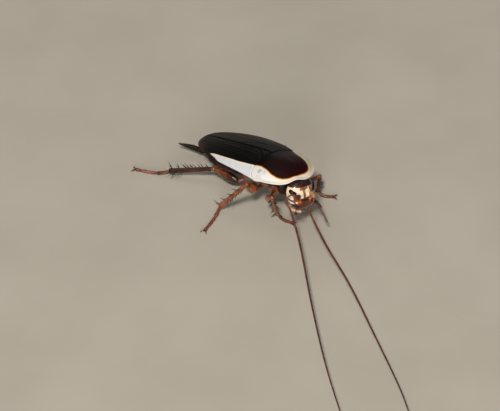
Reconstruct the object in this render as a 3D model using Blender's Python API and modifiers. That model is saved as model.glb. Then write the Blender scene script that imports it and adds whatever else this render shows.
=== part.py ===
"""Common methana, a bush cockroach: a life-size still model resting on its six feet.

The animal faces -Y with its left side at +X. It stands on z = 0, front end raised and leaning
a little to its left. Sizes are in millimetres and are turned into metres when a point is placed.
Body points are (forward, left, up) from a spot between the wing bases, at wing margin level;
floor points are (forward, left, up) measured on the level floor under that spot.
"""

import math
import random

import bmesh
import bpy
from mathutils import Matrix, Vector

MM = 0.001
GAP = 0.3

# How the body is held over the floor
PITCH = 14.0
LEAN = 9.0
RIDE_HEIGHT = 6.6
SHIFT_X = 7.54
SHIFT_Y = 19.67

# Shield behind the head
SHIELD_FRONT = 9.69
SHIELD_WIDEST = 4.6
SHIELD_REAR = 3.0
SHIELD_HALF_WIDTH = 4.88
SHIELD_TOP = 2.12
SHIELD_FRONT_HEIGHT = 0.41
SHIELD_THICKNESS = 0.5
SHIELD_FRONT_POWER = 2.05
SHIELD_REAR_POWER = 3.0
SHIELD_DROP = 0.096
SHIELD_FALL = 2.6
SHIELD_FRONT_TAPER = 0.2
DOME_POWER = 0.65
SHIELD_SPOKES = 40
SHIELD_REACHES = (0.25, 0.45, 0.62, 0.76, 0.87, 0.95, 1.0)

# Front margin of the shield, arched up over the head
MARGIN_LEVEL = 0.05
MARGIN_SLOPE_RIGHT = 0.03
MARGIN_SLOPE_LEFT = 0.07
MARGIN_SIDE_RISE_RIGHT = 0.1
MARGIN_SIDE_RISE_LEFT = 0.3
ARCH_HEIGHT = 0.5
ARCH_MIDDLE = -0.7
ARCH_WIDTH = 1.1
MARGIN_SIDE_FROM = 2.9
MARGIN_SIDE_RUN = 1.6
MARGIN_PULL_POWER = 8
MARGIN_PULL_FROM = 5.2
MARGIN_PULL_RUN = 1.6
FRONT_LIFT_WIDTH = 2.2

# Fore wings
WING_HALF_WIDTH = 4.88
WING_TIP = 15.5
WING_DOME = 2.16
WING_DROOP = 1.85
WING_THICKNESS = 0.5
WING_ROWS = 24
WING_END = 0.985
WING_COLUMNS = 11
WING_EDGE_TURN = 62.0
WING_TAPER_POWERS = (2.5, 0.55)
WING_DOME_LOSS = 0.7
WING_DROOP_POWER = 1.6
WING_NARROW = 2.4
WING_LAP_SHARE = 0.2
WING_LAP_RUN = 9.0
WING_FRONT_SHOWN = 0.35
WING_EDGE_WIDTH = 2.6
WING_EDGE_POWER = 4
WING_ROW_POWER = 1.35
WING_COLUMN_POWER = 0.88
VEIN_HEIGHT = 0.14
VEIN_LINES = (3, 5, 7, 9)

# Trunk
THORAX_TOP = 0.7
THORAX_EDGE = -1.0
THORAX_BOTTOM = -2.4
THORAX_NOSE_FROM = 4.0
THORAX_NOSE_RUN = 3.5
THORAX_NOSE_FALL = 0.5
THORAX_NOSE_RISE = 0.4
TRUNK_ROUNDNESS = 0.8
THORAX_STOPS = ((5.9, 2.0), (5.4, 2.5), (4.2, 2.8), (2.0, 3.1), (0.2, 3.4), (-1.2, 3.5),
                (-1.5, 3.3))
THORAX_SIDES = 20
ABDOMEN_FRONT = -1.8
ABDOMEN_REAR = -13.3
ABDOMEN_SEGMENTS = 8
ABDOMEN_TOP = 0.75
ABDOMEN_EDGE = -0.8
ABDOMEN_BELLY = -2.65
ABDOMEN_CLOSE_POWER = 7
ABDOMEN_TOP_LOSS = 0.8
ABDOMEN_TOP_POWER = 1.6
ABDOMEN_FRONT_DEPTH = 0.72
ABDOMEN_DEEPEN_RUN = 5.0
ABDOMEN_BELLY_LOSS = 0.6
ABDOMEN_BELLY_POWER = 3
ABDOMEN_SIDES = 22
ABDOMEN_INSET = 0.45
ABDOMEN_TIP_HALF_WIDTH = 0.55
SEGMENT_STOPS = ((0.0, 0.93), (0.35, 1.0), (0.93, 1.02))
NECK_STOPS = ((7.35, 1.75, -2.75), (7.15, 2.15, -3.2), (6.75, 2.3, -3.2), (6.3, 2.15, -2.5))
NECK_TOP = -0.3
NECK_EDGE = -1.3

# Tail feelers
CERCUS_PLACES = {
    "right": ((-12.95, -2.5, -2.35), (-16.1, -4.35, -1.6)),
    "left": ((-12.9, 2.35, -2.62), (-15.6, 3.0, -2.25)),
}
CERCUS_RADIUS = 0.36
CERCUS_TIP_RADIUS = 0.12
CERCUS_JOINTS = 9
CERCUS_PINCH = 0.86
CERCUS_BOW = (0.0, -0.35, 0.1)

# Head, hanging face forward under the front of the shield
HEAD_CENTRE = (8.95, 0.2)
HEAD_TOP = -0.3
HEAD_BOTTOM = -4.6
HEAD_HALF_WIDTH = 2.3
HEAD_FRONT_DEPTH = 1.45
HEAD_BACK_DEPTH = 1.25
HEAD_SIDES = 20
EYE_CENTRE = (9.62, 1.66, -1.5)
EYE_HALF_SIZE = (0.38, 0.7, 0.38)
EYE_TURN = 50.0
EYE_TILT = 40.0

# Mouth feelers, through body points
PALP_RADIUS = 0.26
PALP_RIGHT = ((8.25, -1.7, -4.0), (9.0, -1.85, -4.1), (9.8, -1.35, -4.4), (10.45, -0.75, -4.5))
PALP_LEFT = ((9.0, 2.1, -4.0), (10.3, 2.4, -4.25), (10.8, 2.4, -4.9), (12.0, 2.6, -6.8))
LABIAL_PALP = ((8.5, 0.45, -4.95), (8.4, 0.65, -5.35), (8.6, 0.75, -5.8))
PALP_SIDES = 8
PALP_JOINT = ((0.0, 0.85), (0.35, 1.0), (0.8, 1.08))
PALP_HINT = (0.31, 0.52, 0.8)

# Feelers: points on the floor plan with their height, from socket to tip
FEELER_RADIUS = 0.275
FEELER_TIP_RADIUS = 0.16
SCAPE_RADIUS = 0.36
FEELER_SPACING = 1.25
FEELER_LENGTHS = 4
SCAPE_POINTS = 2
FIRST_LENGTH_SHARE = 0.16
FEELER_THIN_FROM = 0.8
FEELER_ROOT_RIGHT = ((10.75, -1.35, -1.85), (10.35, -2.35, -1.25), (10.05, -3.15, -2.1),
                     (10.85, -3.05, -3.15))
FEELER_ROOT_LEFT = ((10.9, 1.2, -2.15), (11.4, 0.85, -3.0), (11.4, 0.0, -4.0))
FEELER_RIGHT = (
    (12.0, -3.3, 3.6), (16.4, -5.6, 3.1), (25.9, -11.1, 2.6), (36.35, -16.8, 2.4),
    (46.85, -21.8, 2.3), (51.0, -23.6, 2.3))
FEELER_LEFT = (
    (12.9, -0.55, 3.7), (17.9, -2.1, 3.2), (26.1, -4.3, 2.8), (36.0, -7.7, 2.5),
    (46.7, -11.6, 2.4), (53.0, -14.5, 2.3), (56.5, -16.4, 2.3))

# Legs: hip, coxa end and femur root on the body, then knee, ankle and toes on the floor plan
LEG_PLACES = {
    "fore_right": {
        "hip": (5.3, -1.75, -2.12), "coxa_end": (3.6, -1.0, -4.2),
        "femur_root": (3.4, -1.95, -4.6),
        "knee": (6.2, -3.4, 5.3), "ankle": (5.5, -1.9, 0.85),
        "toes": ((6.8, -1.7, 0.3), (8.3, -1.05, 0.2))},
    "fore_left": {
        "hip": (5.3, 1.75, -2.12), "coxa_end": (3.9, 1.2, -4.1), "femur_root": (3.9, 2.2, -4.4),
        "knee": (5.6, 5.6, 3.5), "ankle": (5.9, 5.6, 0.85),
        "toes": ((6.65, 6.05, 0.3), (7.75, 7.15, 0.2))},
    "mid_right": {
        "hip": (2.3, -1.72, -2.27), "coxa_end": (1.0, -0.9, -3.5),
        "femur_root": (1.0, -2.35, -3.75), "knee": (2.65, -4.7, 6.05),
        "ankle": (-1.1, -7.5, 0.85),
        "toes": ((-0.1, -9.4, 0.3), (1.0, -12.0, 0.2))},
    "mid_left": {
        "hip": (2.3, 1.9, -2.1), "coxa_end": (0.8, 1.2, -4.3), "femur_root": (0.6, 2.2, -4.4),
        "knee": (1.8, 5.0, 4.4), "ankle": (-2.6, 6.9, 0.85),
        "toes": ((-3.8, 7.8, 0.3), (-5.6, 8.1, 0.2))},
    "hind_right": {
        "hip": (-1.2, -1.9, -2.2), "coxa_end": (-3.0, -1.2, -3.9),
        "femur_root": (-3.6, -2.2, -4.2),
        "knee": (-6.35, -4.15, 2.5), "ankle": (-12.2, -8.8, 0.95),
        "toes": ((-13.7, -10.1, 0.3), (-16.5, -12.0, 0.2))},
    "hind_left": {
        "hip": (-1.2, 1.9, -2.2), "coxa_end": (-2.9, 1.4, -4.3), "femur_root": (-3.2, 2.4, -4.3),
        "knee": (-4.7, 5.2, 2.7), "ankle": (-9.9, 4.1, 0.95),
        "toes": ((-11.1, 3.9, 0.3), (-13.1, 3.6, 0.2))},
}
COXA_HALF_LENGTH = {"fore": 1.15, "mid": 1.3, "hind": 1.45}
COXA_HALF_WIDTH = {"fore": 0.6, "mid": 0.68, "hind": 0.74}
COXA_TILT = 0.4
FEMUR_RADIUS = {"fore": 0.55, "mid": 0.8, "hind": 0.74}
FEMUR_FLATNESS = 0.8
TIBIA_RADIUS = {"fore": 0.34, "mid": 0.38, "hind": 0.4}
TARSUS_RADIUS = 0.27
SPINE_COUNT = {"fore": 8, "mid": 10, "hind": 14}
SPINE_LENGTH = {"fore": 1.0, "mid": 1.2, "hind": 1.45}
SPINE_RADIUS = 0.22
SPINE_TIP_RADIUS = 0.05
SPINE_LEAN = 48.0
SPINE_END_LEAN = 14.0
SPINE_LEAN_SPREAD = 8.0
SPINE_TURN_SPREAD = 12.0
SPINE_LENGTH_SPREAD = (0.8, 1.1)
SPINE_LENGTH_GROWTH = (0.75, 0.35)
SPINE_NEAR_TOES = 0.75
SPINE_NEAR_THIGH = 0.6
SPINE_CROWDED = 0.2
SPINE_ROWS = (35.0, 155.0, 325.0, 215.0)
SPINE_FIRST = 0.16
SPINE_RUN = 0.8
SPINE_SIDES = 4
SPINE_FLOOR = 0.12
SPINES_TURNED_DOWN = ("hind_left",)
CLAW_LENGTH = 0.75
CLAW_RADIUS = 0.16
CLAW_TIP_RADIUS = 0.07
CLAW_SIDES = 5
CLAW_ROOT_BACK = 0.3
CLAW_ROOT_SIDE = 0.05
CLAW_REACH = 0.75
CLAW_SPREAD = 0.6
CLAW_TIP_HEIGHT = 0.1
TOE_SPACING = 0.25
TARSUS_JOINTS = ((0.0, 0.36), (0.36, 0.52), (0.52, 0.65), (0.65, 0.75), (0.75, 0.97))
TARSUS_JOINT_SIZES = ((0.0, 0.9), (0.5, 0.98), (0.92, 1.16))
STEEP = 0.93
LIMB_SIDES = 10
SHANK_SIDES = 8

# Colours and finish of the plain solids
COLOURS = {
    "dark_cuticle": ((0.03, 0.016, 0.011), 0.3),
    "pale_border": ((0.8, 0.72, 0.55), 0.4),
    "amber_leg": ((0.38, 0.13, 0.03), 0.3),
    "brown_shank": ((0.1, 0.03, 0.015), 0.35),
    "red_feeler": ((0.16, 0.045, 0.02), 0.45),
    "cream_face": ((0.7, 0.55, 0.33), 0.4),
    "eye_black": ((0.012, 0.01, 0.012), 0.15),
}


def clear_scene():
    for obj in list(bpy.data.objects):
        bpy.data.objects.remove(obj, do_unlink=True)


def make_collection(name):
    collection = bpy.data.collections.new(name)
    bpy.context.scene.collection.children.link(collection)
    return collection


def make_material(name):
    colour, roughness = COLOURS[name]
    material = bpy.data.materials.new(name)
    material.use_nodes = True
    shader = material.node_tree.nodes["Principled BSDF"]
    shader.inputs["Base Color"].default_value = (*colour, 1.0)
    shader.inputs["Roughness"].default_value = roughness
    shader.inputs["Metallic"].default_value = 0.0
    return material


def body_turn():
    """Rotation from body axes to level axes, both forward-left-up."""
    pitch = Matrix.Rotation(-math.radians(PITCH), 3, "Y")
    lean = Matrix.Rotation(-math.radians(LEAN), 3, "X")
    return pitch @ lean


BODY_TURN = body_turn()


def level(point):
    """A body point in floor coordinates."""
    return BODY_TURN @ Vector(point) + Vector((0.0, 0.0, RIDE_HEIGHT))


def world(point):
    """A floor point (forward, left, up) in metres, facing -Y."""
    forward, left, up = point
    return Vector((left + SHIFT_X, -forward + SHIFT_Y, up)) * MM


def smooth(value):
    value = min(max(value, 0.0), 1.0)
    return value * value * (3.0 - 2.0 * value)


def add_object(name, mesh, material, collection):
    obj = bpy.data.objects.new(name, mesh)
    mesh.materials.clear()
    mesh.materials.append(material)
    collection.objects.link(obj)
    return obj


def mesh_from(bm, name):
    bmesh.ops.recalc_face_normals(bm, faces=bm.faces)
    if bm.calc_volume(signed=True) < 0.0:
        bmesh.ops.reverse_faces(bm, faces=bm.faces)
    mesh = bpy.data.meshes.new(name)
    bm.to_mesh(mesh)
    bm.free()
    mesh.shade_smooth()
    mesh.set_sharp_from_angle(angle=math.radians(50))
    return mesh


def loft(rings):
    """Closed skin through rings of floor points that all have the same count."""
    bm = bmesh.new()
    loops = [[bm.verts.new(world(point)) for point in ring] for ring in rings]
    for lower, upper in zip(loops, loops[1:]):
        count = len(lower)
        for index in range(count):
            follow = (index + 1) % count
            bm.faces.new((lower[index], lower[follow], upper[follow], upper[index]))
    bm.faces.new(loops[0])
    bm.faces.new(loops[-1])
    bmesh.ops.triangulate(bm, faces=[f for f in bm.faces if len(f.verts) > 4])
    return bm


def body_rings(sections):
    return [[level(point) for point in ring] for ring in sections]


def sweep_rings(path, radii, sides, flatness=1.0, hint=(0.0, 0.0, 1.0)):
    """Rings square to a path of floor points; flatness scales the way across the hint."""
    rings = []
    points = [Vector(point) for point in path]
    for index, centre in enumerate(points):
        before = points[max(index - 1, 0)]
        after = points[min(index + 1, len(points) - 1)]
        along = (after - before).normalized()
        side = along.cross(Vector(hint)).normalized()
        rise = side.cross(along).normalized()
        ring = []
        for step in range(sides):
            turn = math.tau * step / sides
            across = side * math.cos(turn) * flatness + rise * math.sin(turn)
            ring.append(centre + across * radii[index])
        rings.append(ring)
    return rings


def union(base, pieces, solver="EXACT"):
    """Fuse the closed pieces into base and keep its largest closed surface."""
    helper = make_collection(base.name + "_pieces")
    for piece in pieces:
        helper.objects.link(piece)
    modifier = base.modifiers.new("join", "BOOLEAN")
    modifier.operation = "UNION"
    modifier.operand_type = "COLLECTION"
    modifier.collection = helper
    modifier.solver = solver
    depsgraph = bpy.context.evaluated_depsgraph_get()
    fused = bpy.data.meshes.new_from_object(base.evaluated_get(depsgraph))
    base.modifiers.clear()
    base.data = fused
    for piece in pieces:
        bpy.data.objects.remove(piece, do_unlink=True)
    bpy.data.collections.remove(helper)
    keep_largest(base)


def keep_largest(obj):
    bm = bmesh.new()
    bm.from_mesh(obj.data)
    unseen = set(bm.faces)
    islands = []
    while unseen:
        island = set()
        front = [unseen.pop()]
        while front:
            face = front.pop()
            island.add(face)
            for edge in face.edges:
                for other in edge.link_faces:
                    if other in unseen:
                        unseen.remove(other)
                        front.append(other)
        islands.append(island)
    largest = max(islands, key=lambda faces: sum(face.calc_area() for face in faces))
    spare = [face for face in bm.faces if face not in largest]
    bmesh.ops.delete(bm, geom=spare, context="FACES")
    bm.to_mesh(obj.data)
    bm.free()


def cone_object(name, root, tip, root_radius, tip_radius, sides):
    """A closed taper between two floor points."""
    start, end = world(root), world(tip)
    along = end - start
    bm = bmesh.new()
    bmesh.ops.create_cone(bm, cap_ends=True, segments=sides, radius1=root_radius * MM,
                          radius2=tip_radius * MM, depth=along.length)
    turn = along.to_track_quat("Z", "Y").to_matrix().to_4x4()
    bm.transform(Matrix.Translation((start + end) / 2.0) @ turn)
    return bpy.data.objects.new(name, mesh_from(bm, name))


# Shield

def shield_rear(y):
    part = min(abs(y) / SHIELD_HALF_WIDTH, 1.0)
    reach = (1.0 - part ** SHIELD_REAR_POWER) ** (1.0 / SHIELD_REAR_POWER)
    return SHIELD_WIDEST - (SHIELD_WIDEST - SHIELD_REAR) * reach


def shield_point(angle, reach):
    """Top of the shield: angle 0 is the front, reach 1 the margin."""
    front = math.cos(angle) > 0.0
    power = SHIELD_FRONT_POWER if front else SHIELD_REAR_POWER
    depth = (SHIELD_FRONT - SHIELD_WIDEST) if front else (SHIELD_WIDEST - SHIELD_REAR)
    size = (abs(math.cos(angle)) ** power + abs(math.sin(angle)) ** power) ** (-1.0 / power)
    x = SHIELD_WIDEST + depth * size * math.cos(angle) * reach
    y = SHIELD_HALF_WIDTH * size * math.sin(angle) * reach
    return x, y, shield_height(x, y)


def margin_height(y):
    """Height of the shield's front margin across the head."""
    slope = MARGIN_SLOPE_LEFT if y > 0.0 else MARGIN_SLOPE_RIGHT
    side_rise = MARGIN_SIDE_RISE_LEFT if y > 0.0 else MARGIN_SIDE_RISE_RIGHT
    side_share = smooth((abs(y) - MARGIN_SIDE_FROM) / MARGIN_SIDE_RUN)
    arch = ARCH_HEIGHT * math.exp(-((y - ARCH_MIDDLE) / ARCH_WIDTH) ** 2)
    return MARGIN_LEVEL - slope * y + arch + side_rise * side_share


def shield_height(x, y):
    """Rear edge as high as the wings, falling forward and to the sides."""
    ahead = min(max((x - SHIELD_REAR) / (SHIELD_FRONT - SHIELD_REAR), 0.0), 1.0)
    fall = ahead ** SHIELD_FALL
    ridge = SHIELD_TOP * (1.0 - fall) + SHIELD_FRONT_HEIGHT * fall
    out = min(abs(y) / (SHIELD_HALF_WIDTH * (1.0 - ahead ** 4 * SHIELD_FRONT_TAPER)), 1.0)
    front_lift = SHIELD_FRONT_HEIGHT * ahead ** 2 * math.exp(-(y / FRONT_LIFT_WIDTH) ** 2)
    edge = front_lift - SHIELD_DROP * out ** 2
    height = edge + max(ridge - edge, 0.0) * (1.0 - out ** 2) ** DOME_POWER
    forward = max(x - SHIELD_WIDEST, 0.0) / (SHIELD_FRONT - SHIELD_WIDEST)
    reach = math.hypot(forward, y / SHIELD_HALF_WIDTH)
    pull = reach ** MARGIN_PULL_POWER * smooth((x - MARGIN_PULL_FROM) / MARGIN_PULL_RUN)
    return height + (margin_height(y) - height) * min(pull, 1.0)


def make_shield(material, collection):
    bm = bmesh.new()
    centre = bm.verts.new(world(level(shield_point(0.0, 0.0))))
    loops = []
    for reach in SHIELD_REACHES:
        loops.append([bm.verts.new(world(level(shield_point(math.tau * s / SHIELD_SPOKES, reach))))
                      for s in range(SHIELD_SPOKES)])
    for index in range(SHIELD_SPOKES):
        follow = (index + 1) % SHIELD_SPOKES
        bm.faces.new((centre, loops[0][index], loops[0][follow]))
        for inner, outer in zip(loops, loops[1:]):
            bm.faces.new((inner[index], outer[index], outer[follow], inner[follow]))
    bmesh.ops.triangulate(bm, faces=bm.faces)
    shield = add_object("pronotum", mesh_from(bm, "pronotum"), material, collection)
    shell(shield, SHIELD_THICKNESS)


def shell(obj, thickness):
    modifier = obj.modifiers.new("thickness", "SOLIDIFY")
    modifier.thickness = thickness * MM
    modifier.offset = -1.0
    modifier.use_even_offset = False


# Fore wings

def wing_half_width(x):
    part = min(max(-x / WING_TIP, 0.0), 1.0)
    return WING_HALF_WIDTH * (1.0 - part ** WING_TAPER_POWERS[0]) ** WING_TAPER_POWERS[1]


def wing_seam(x):
    """Where the left wing's inner edge lies, as a share of the half width."""
    return -WING_LAP_SHARE * smooth((SHIELD_REAR - x) / WING_LAP_RUN)


def wing_height(x, v):
    part = min(max((2.0 - x) / (WING_TIP + 2.0), 0.0), 1.0)
    narrow = min(wing_half_width(x) / WING_NARROW, 1.0)
    dome = WING_DOME * (1.0 - WING_DOME_LOSS * part ** 2) * narrow
    droop = WING_DROOP * part ** WING_DROOP_POWER
    return dome * max(1.0 - v * v, 0.0) ** DOME_POWER - droop


def wing_point(side, row, column):
    """Top of a wing: row 0 at the shield, column 0 at the seam between the wings."""
    along = row / WING_ROWS
    part = 1.0 - (1.0 - along) ** WING_ROW_POWER
    out = (column / WING_COLUMNS) ** WING_COLUMN_POWER
    start = min(shield_rear(out * WING_HALF_WIDTH) - GAP, SHIELD_REAR + WING_FRONT_SHOWN)
    x = start + (-WING_TIP * WING_END - start) * part
    half_width = wing_half_width(x)
    inner = wing_seam(x) * side + GAP / 2.0 / half_width
    v = inner + (1.0 - inner) * out
    height = wing_height(x, v)
    if column in VEIN_LINES and 0 < row < WING_ROWS - 1:
        height += VEIN_HEIGHT * (1.0 - part) ** 0.5
    return x, side * v * half_width, height


def wing_under(side, row, column):
    """The underside, set in along a line that leans outward near the margin."""
    x, y, z = wing_point(side, row, column)
    out = min(abs(y) / wing_half_width(x), 1.0)
    broad = min(wing_half_width(x) / WING_EDGE_WIDTH, 1.0)
    turn = math.radians(WING_EDGE_TURN) * out ** WING_EDGE_POWER * broad
    away = math.copysign(1.0, y)
    return (x, y - away * WING_THICKNESS * math.sin(turn), z - WING_THICKNESS * math.cos(turn))


def make_wing(side, material, collection):
    name = "tegmen_left" if side > 0 else "tegmen_right"
    bm = bmesh.new()
    sheets = []
    for surface in (wing_point, wing_under):
        sheets.append([[bm.verts.new(world(level(surface(side, row, column))))
                        for column in range(WING_COLUMNS + 1)] for row in range(WING_ROWS + 1)])
    for sheet in sheets:
        for row in range(WING_ROWS):
            for column in range(WING_COLUMNS):
                near, far = sheet[row], sheet[row + 1]
                bm.faces.new((near[column], far[column], far[column + 1]))
                bm.faces.new((near[column], far[column + 1], near[column + 1]))
    top, under = (border(sheet) for sheet in sheets)
    for index in range(len(top)):
        follow = (index + 1) % len(top)
        bm.faces.new((top[index], top[follow], under[follow], under[index]))
    add_object(name, mesh_from(bm, name), material, collection)


def border(sheet):
    """The rim of a grid of corners, once round."""
    left = [row[0] for row in sheet]
    right = [row[-1] for row in sheet]
    return sheet[0][:-1] + right[:-1] + sheet[-1][:0:-1] + left[:0:-1]


# Trunk

def trunk_ring(x, half_width, top, edge, bottom, count):
    ring = []
    for step in range(count):
        turn = math.tau * step / count
        across = math.copysign(abs(math.cos(turn)) ** TRUNK_ROUNDNESS, math.cos(turn))
        rise = math.sin(turn)
        reach = (top - edge) if rise > 0.0 else (edge - bottom)
        ring.append((x, half_width * across, edge + reach * rise))
    return ring


def make_thorax(material, collection):
    sections = []
    for x, half_width in THORAX_STOPS:
        nose = smooth((x - THORAX_NOSE_FROM) / THORAX_NOSE_RUN)
        sections.append(trunk_ring(x, half_width, THORAX_TOP - THORAX_NOSE_FALL * nose,
                                   THORAX_EDGE, THORAX_BOTTOM + THORAX_NOSE_RISE * nose,
                                   THORAX_SIDES))
    bm = loft(body_rings(sections))
    add_object("thorax", mesh_from(bm, "thorax"), material, collection)


def abdomen_half_width(x):
    back = min(max((ABDOMEN_FRONT - x) / (ABDOMEN_FRONT - ABDOMEN_REAR), 0.0), 1.0)
    close = math.sqrt(max(1.0 - back ** ABDOMEN_CLOSE_POWER, 0.0))
    return max((wing_half_width(x) - ABDOMEN_INSET) * close, ABDOMEN_TIP_HALF_WIDTH)


def make_abdomen(material, collection):
    sections = []
    length = (ABDOMEN_FRONT - ABDOMEN_REAR) / ABDOMEN_SEGMENTS
    for segment in range(ABDOMEN_SEGMENTS):
        for part, swell in SEGMENT_STOPS:
            x = ABDOMEN_FRONT - (segment + part) * length
            back = (ABDOMEN_FRONT - x) / (ABDOMEN_FRONT - ABDOMEN_REAR)
            drop = WING_DROOP * ((2.0 - x) / (WING_TIP + 2.0)) ** WING_DROOP_POWER
            edge = ABDOMEN_EDGE - drop
            low = 1.0 - ABDOMEN_TOP_LOSS * back ** ABDOMEN_TOP_POWER
            top = edge + (ABDOMEN_TOP - ABDOMEN_EDGE) * low
            deepen = smooth((ABDOMEN_FRONT - x) / ABDOMEN_DEEPEN_RUN)
            deep = ABDOMEN_FRONT_DEPTH + (1.0 - ABDOMEN_FRONT_DEPTH) * deepen
            deep *= 1.0 - ABDOMEN_BELLY_LOSS * back ** ABDOMEN_BELLY_POWER
            belly = edge + (ABDOMEN_BELLY - ABDOMEN_EDGE) * deep
            width = abdomen_half_width(x) * swell
            sections.append(trunk_ring(x, width, top, edge, edge + (belly - edge) * swell,
                                       ABDOMEN_SIDES))
    bm = loft(body_rings(sections))
    add_object("abdomen", mesh_from(bm, "abdomen"), material, collection)


def make_neck(material, collection):
    sections = [trunk_ring(x, half_width, NECK_TOP, NECK_EDGE, bottom, THORAX_SIDES)
                for x, half_width, bottom in NECK_STOPS]
    bm = loft(body_rings(sections))
    add_object("neck", mesh_from(bm, "neck"), material, collection)


# Tail feelers

def make_cercus(side_name, material, collection):
    name = "cercus_" + side_name
    root, tip = (Vector(place) for place in CERCUS_PLACES[side_name])
    path = []
    radii = []
    for step in range(CERCUS_JOINTS * 2 + 1):
        along = step / (CERCUS_JOINTS * 2)
        bow = Vector(CERCUS_BOW) * math.sin(math.pi * along)
        bow.y *= math.copysign(1.0, root.y)
        path.append(level(root.lerp(tip, along) + bow))
        swell = CERCUS_RADIUS * math.sin(math.pi * min(0.2 + 0.8 * along, 1.0)) ** 0.7
        pinch = CERCUS_PINCH if step % 2 == 0 else 1.0
        radii.append(max(swell * pinch, CERCUS_TIP_RADIUS))
    bm = loft(sweep_rings(path, radii, LIMB_SIDES, hint=BODY_TURN @ Vector((0.0, 0.0, 1.0))))
    add_object(name, mesh_from(bm, name), material, collection)


# Head

HEAD_STOPS = (
    (0.05, 0.42, 0.45), (0.09, 0.7, 0.7), (0.16, 0.92, 0.9), (0.3, 1.0, 1.0), (0.45, 0.98, 1.05),
    (0.58, 0.94, 1.04), (0.68, 0.86, 1.0), (0.7, 0.8, 0.92), (0.8, 0.7, 0.9), (0.82, 0.63, 0.78),
    (0.93, 0.5, 0.68), (1.0, 0.34, 0.45))


def head_ring(part, wide, deep):
    """One level slice of the head: part 0 is the crown, 1 the mouth."""
    z = HEAD_TOP + (HEAD_BOTTOM - HEAD_TOP) * part
    ring = []
    for step in range(HEAD_SIDES):
        turn = math.tau * step / HEAD_SIDES
        across = math.sin(turn)
        ahead = math.cos(turn)
        depth = HEAD_FRONT_DEPTH if ahead > 0.0 else HEAD_BACK_DEPTH
        x = HEAD_CENTRE[0] + depth * deep * math.copysign(abs(ahead) ** 0.85, ahead)
        y = HEAD_CENTRE[1] + HEAD_HALF_WIDTH * wide * math.copysign(abs(across) ** 0.9, across)
        ring.append((x, y, z))
    return ring


def eye_object(side, name, extra=0.0):
    bm = bmesh.new()
    bmesh.ops.create_uvsphere(bm, u_segments=14, v_segments=9, radius=1.0)
    scale = Matrix.Diagonal([size + extra for size in EYE_HALF_SIZE]).to_4x4()
    tilt = (Matrix.Rotation(math.radians(EYE_TURN) * side, 4, "Z")
            @ Matrix.Rotation(math.radians(EYE_TILT) * side, 4, "X"))
    centre = Vector((EYE_CENTRE[0], HEAD_CENTRE[1] + side * EYE_CENTRE[1], EYE_CENTRE[2]))
    bm.transform(Matrix.Translation(centre) @ tilt @ scale)
    for vert in bm.verts:
        vert.co = world(level(vert.co))
    return bpy.data.objects.new(name, mesh_from(bm, name))


def make_head(materials, collection):
    bm = loft(body_rings([head_ring(*stop) for stop in HEAD_STOPS]))
    head = add_object("head", mesh_from(bm, "head"), materials["cream_face"], collection)
    sockets = [eye_object(side, "socket", GAP) for side in (1, -1)]
    carve(head, sockets)
    for side, name in ((1, "eye_left"), (-1, "eye_right")):
        eye = eye_object(side, name)
        eye.data.materials.append(materials["eye_black"])
        collection.objects.link(eye)


def carve(obj, cutters):
    for cutter in cutters:
        bpy.context.scene.collection.objects.link(cutter)
        modifier = obj.modifiers.new("socket", "BOOLEAN")
        modifier.operation = "DIFFERENCE"
        modifier.object = cutter
        modifier.solver = "EXACT"
    depsgraph = bpy.context.evaluated_depsgraph_get()
    cut = bpy.data.meshes.new_from_object(obj.evaluated_get(depsgraph))
    obj.modifiers.clear()
    obj.data = cut
    for cutter in cutters:
        bpy.data.objects.remove(cutter, do_unlink=True)
    keep_largest(obj)


def make_palp(name, points, radius, material, collection):
    """A jointed mouth feeler through body points."""
    path = []
    radii = []
    for start, end in zip(points, points[1:]):
        for part, size in PALP_JOINT:
            path.append(level(Vector(start).lerp(Vector(end), part)))
            radii.append(radius * size)
    path.append(level(points[-1]))
    radii.append(radius * 0.5)
    bm = loft(sweep_rings(path, radii, PALP_SIDES, hint=PALP_HINT))
    add_object(name, mesh_from(bm, name), material, collection)


# Feelers

def curve_points(points, spacing):
    """Even points on a smooth curve through the given places."""
    knots = [Vector(point) for point in points]
    ends = [knots[0] * 2.0 - knots[1]] + knots + [knots[-1] * 2.0 - knots[-2]]
    fine = []
    for a, b, c, d in zip(ends, ends[1:], ends[2:], ends[3:]):
        steps = 24
        for step in range(steps):
            t = step / steps
            fine.append(0.5 * ((2.0 * b) + (c - a) * t + (2.0 * a - 5.0 * b + 4.0 * c - d) * t * t
                               + (3.0 * b - 3.0 * c + d - a) * t ** 3))
    fine.append(knots[-1])
    total = sum((q - p).length for p, q in zip(fine, fine[1:]))
    count = max(int(round(total / spacing)), 1)
    even = [fine[0]]
    travelled = 0.0
    for p, q in zip(fine, fine[1:]):
        travelled += (q - p).length
        while len(even) < count and travelled >= len(even) * total / count:
            even.append(q.copy())
    even.append(fine[-1])
    return even


def tube(name, path, radii, material, collection):
    """A round tapering rod along floor points, as a bevelled curve turned into a mesh."""
    curve = bpy.data.curves.new(name, "CURVE")
    curve.dimensions = "3D"
    curve.bevel_depth = MM
    curve.bevel_resolution = 2
    curve.use_fill_caps = True
    spline = curve.splines.new("POLY")
    spline.points.add(len(path) - 1)
    for point, place, radius in zip(spline.points, path, radii):
        point.co = (*world(place), 1.0)
        point.radius = radius
    rod = bpy.data.objects.new(name + "_curve", curve)
    bpy.context.scene.collection.objects.link(rod)
    depsgraph = bpy.context.evaluated_depsgraph_get()
    mesh = bpy.data.meshes.new_from_object(rod.evaluated_get(depsgraph))
    bm = bmesh.new()
    bm.from_mesh(mesh)
    bmesh.ops.remove_doubles(bm, verts=bm.verts, dist=1e-6)
    bm.transform(rod.matrix_world)
    bpy.data.objects.remove(rod, do_unlink=True)
    return add_object(name, mesh_from(bm, name), material, collection)


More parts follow.
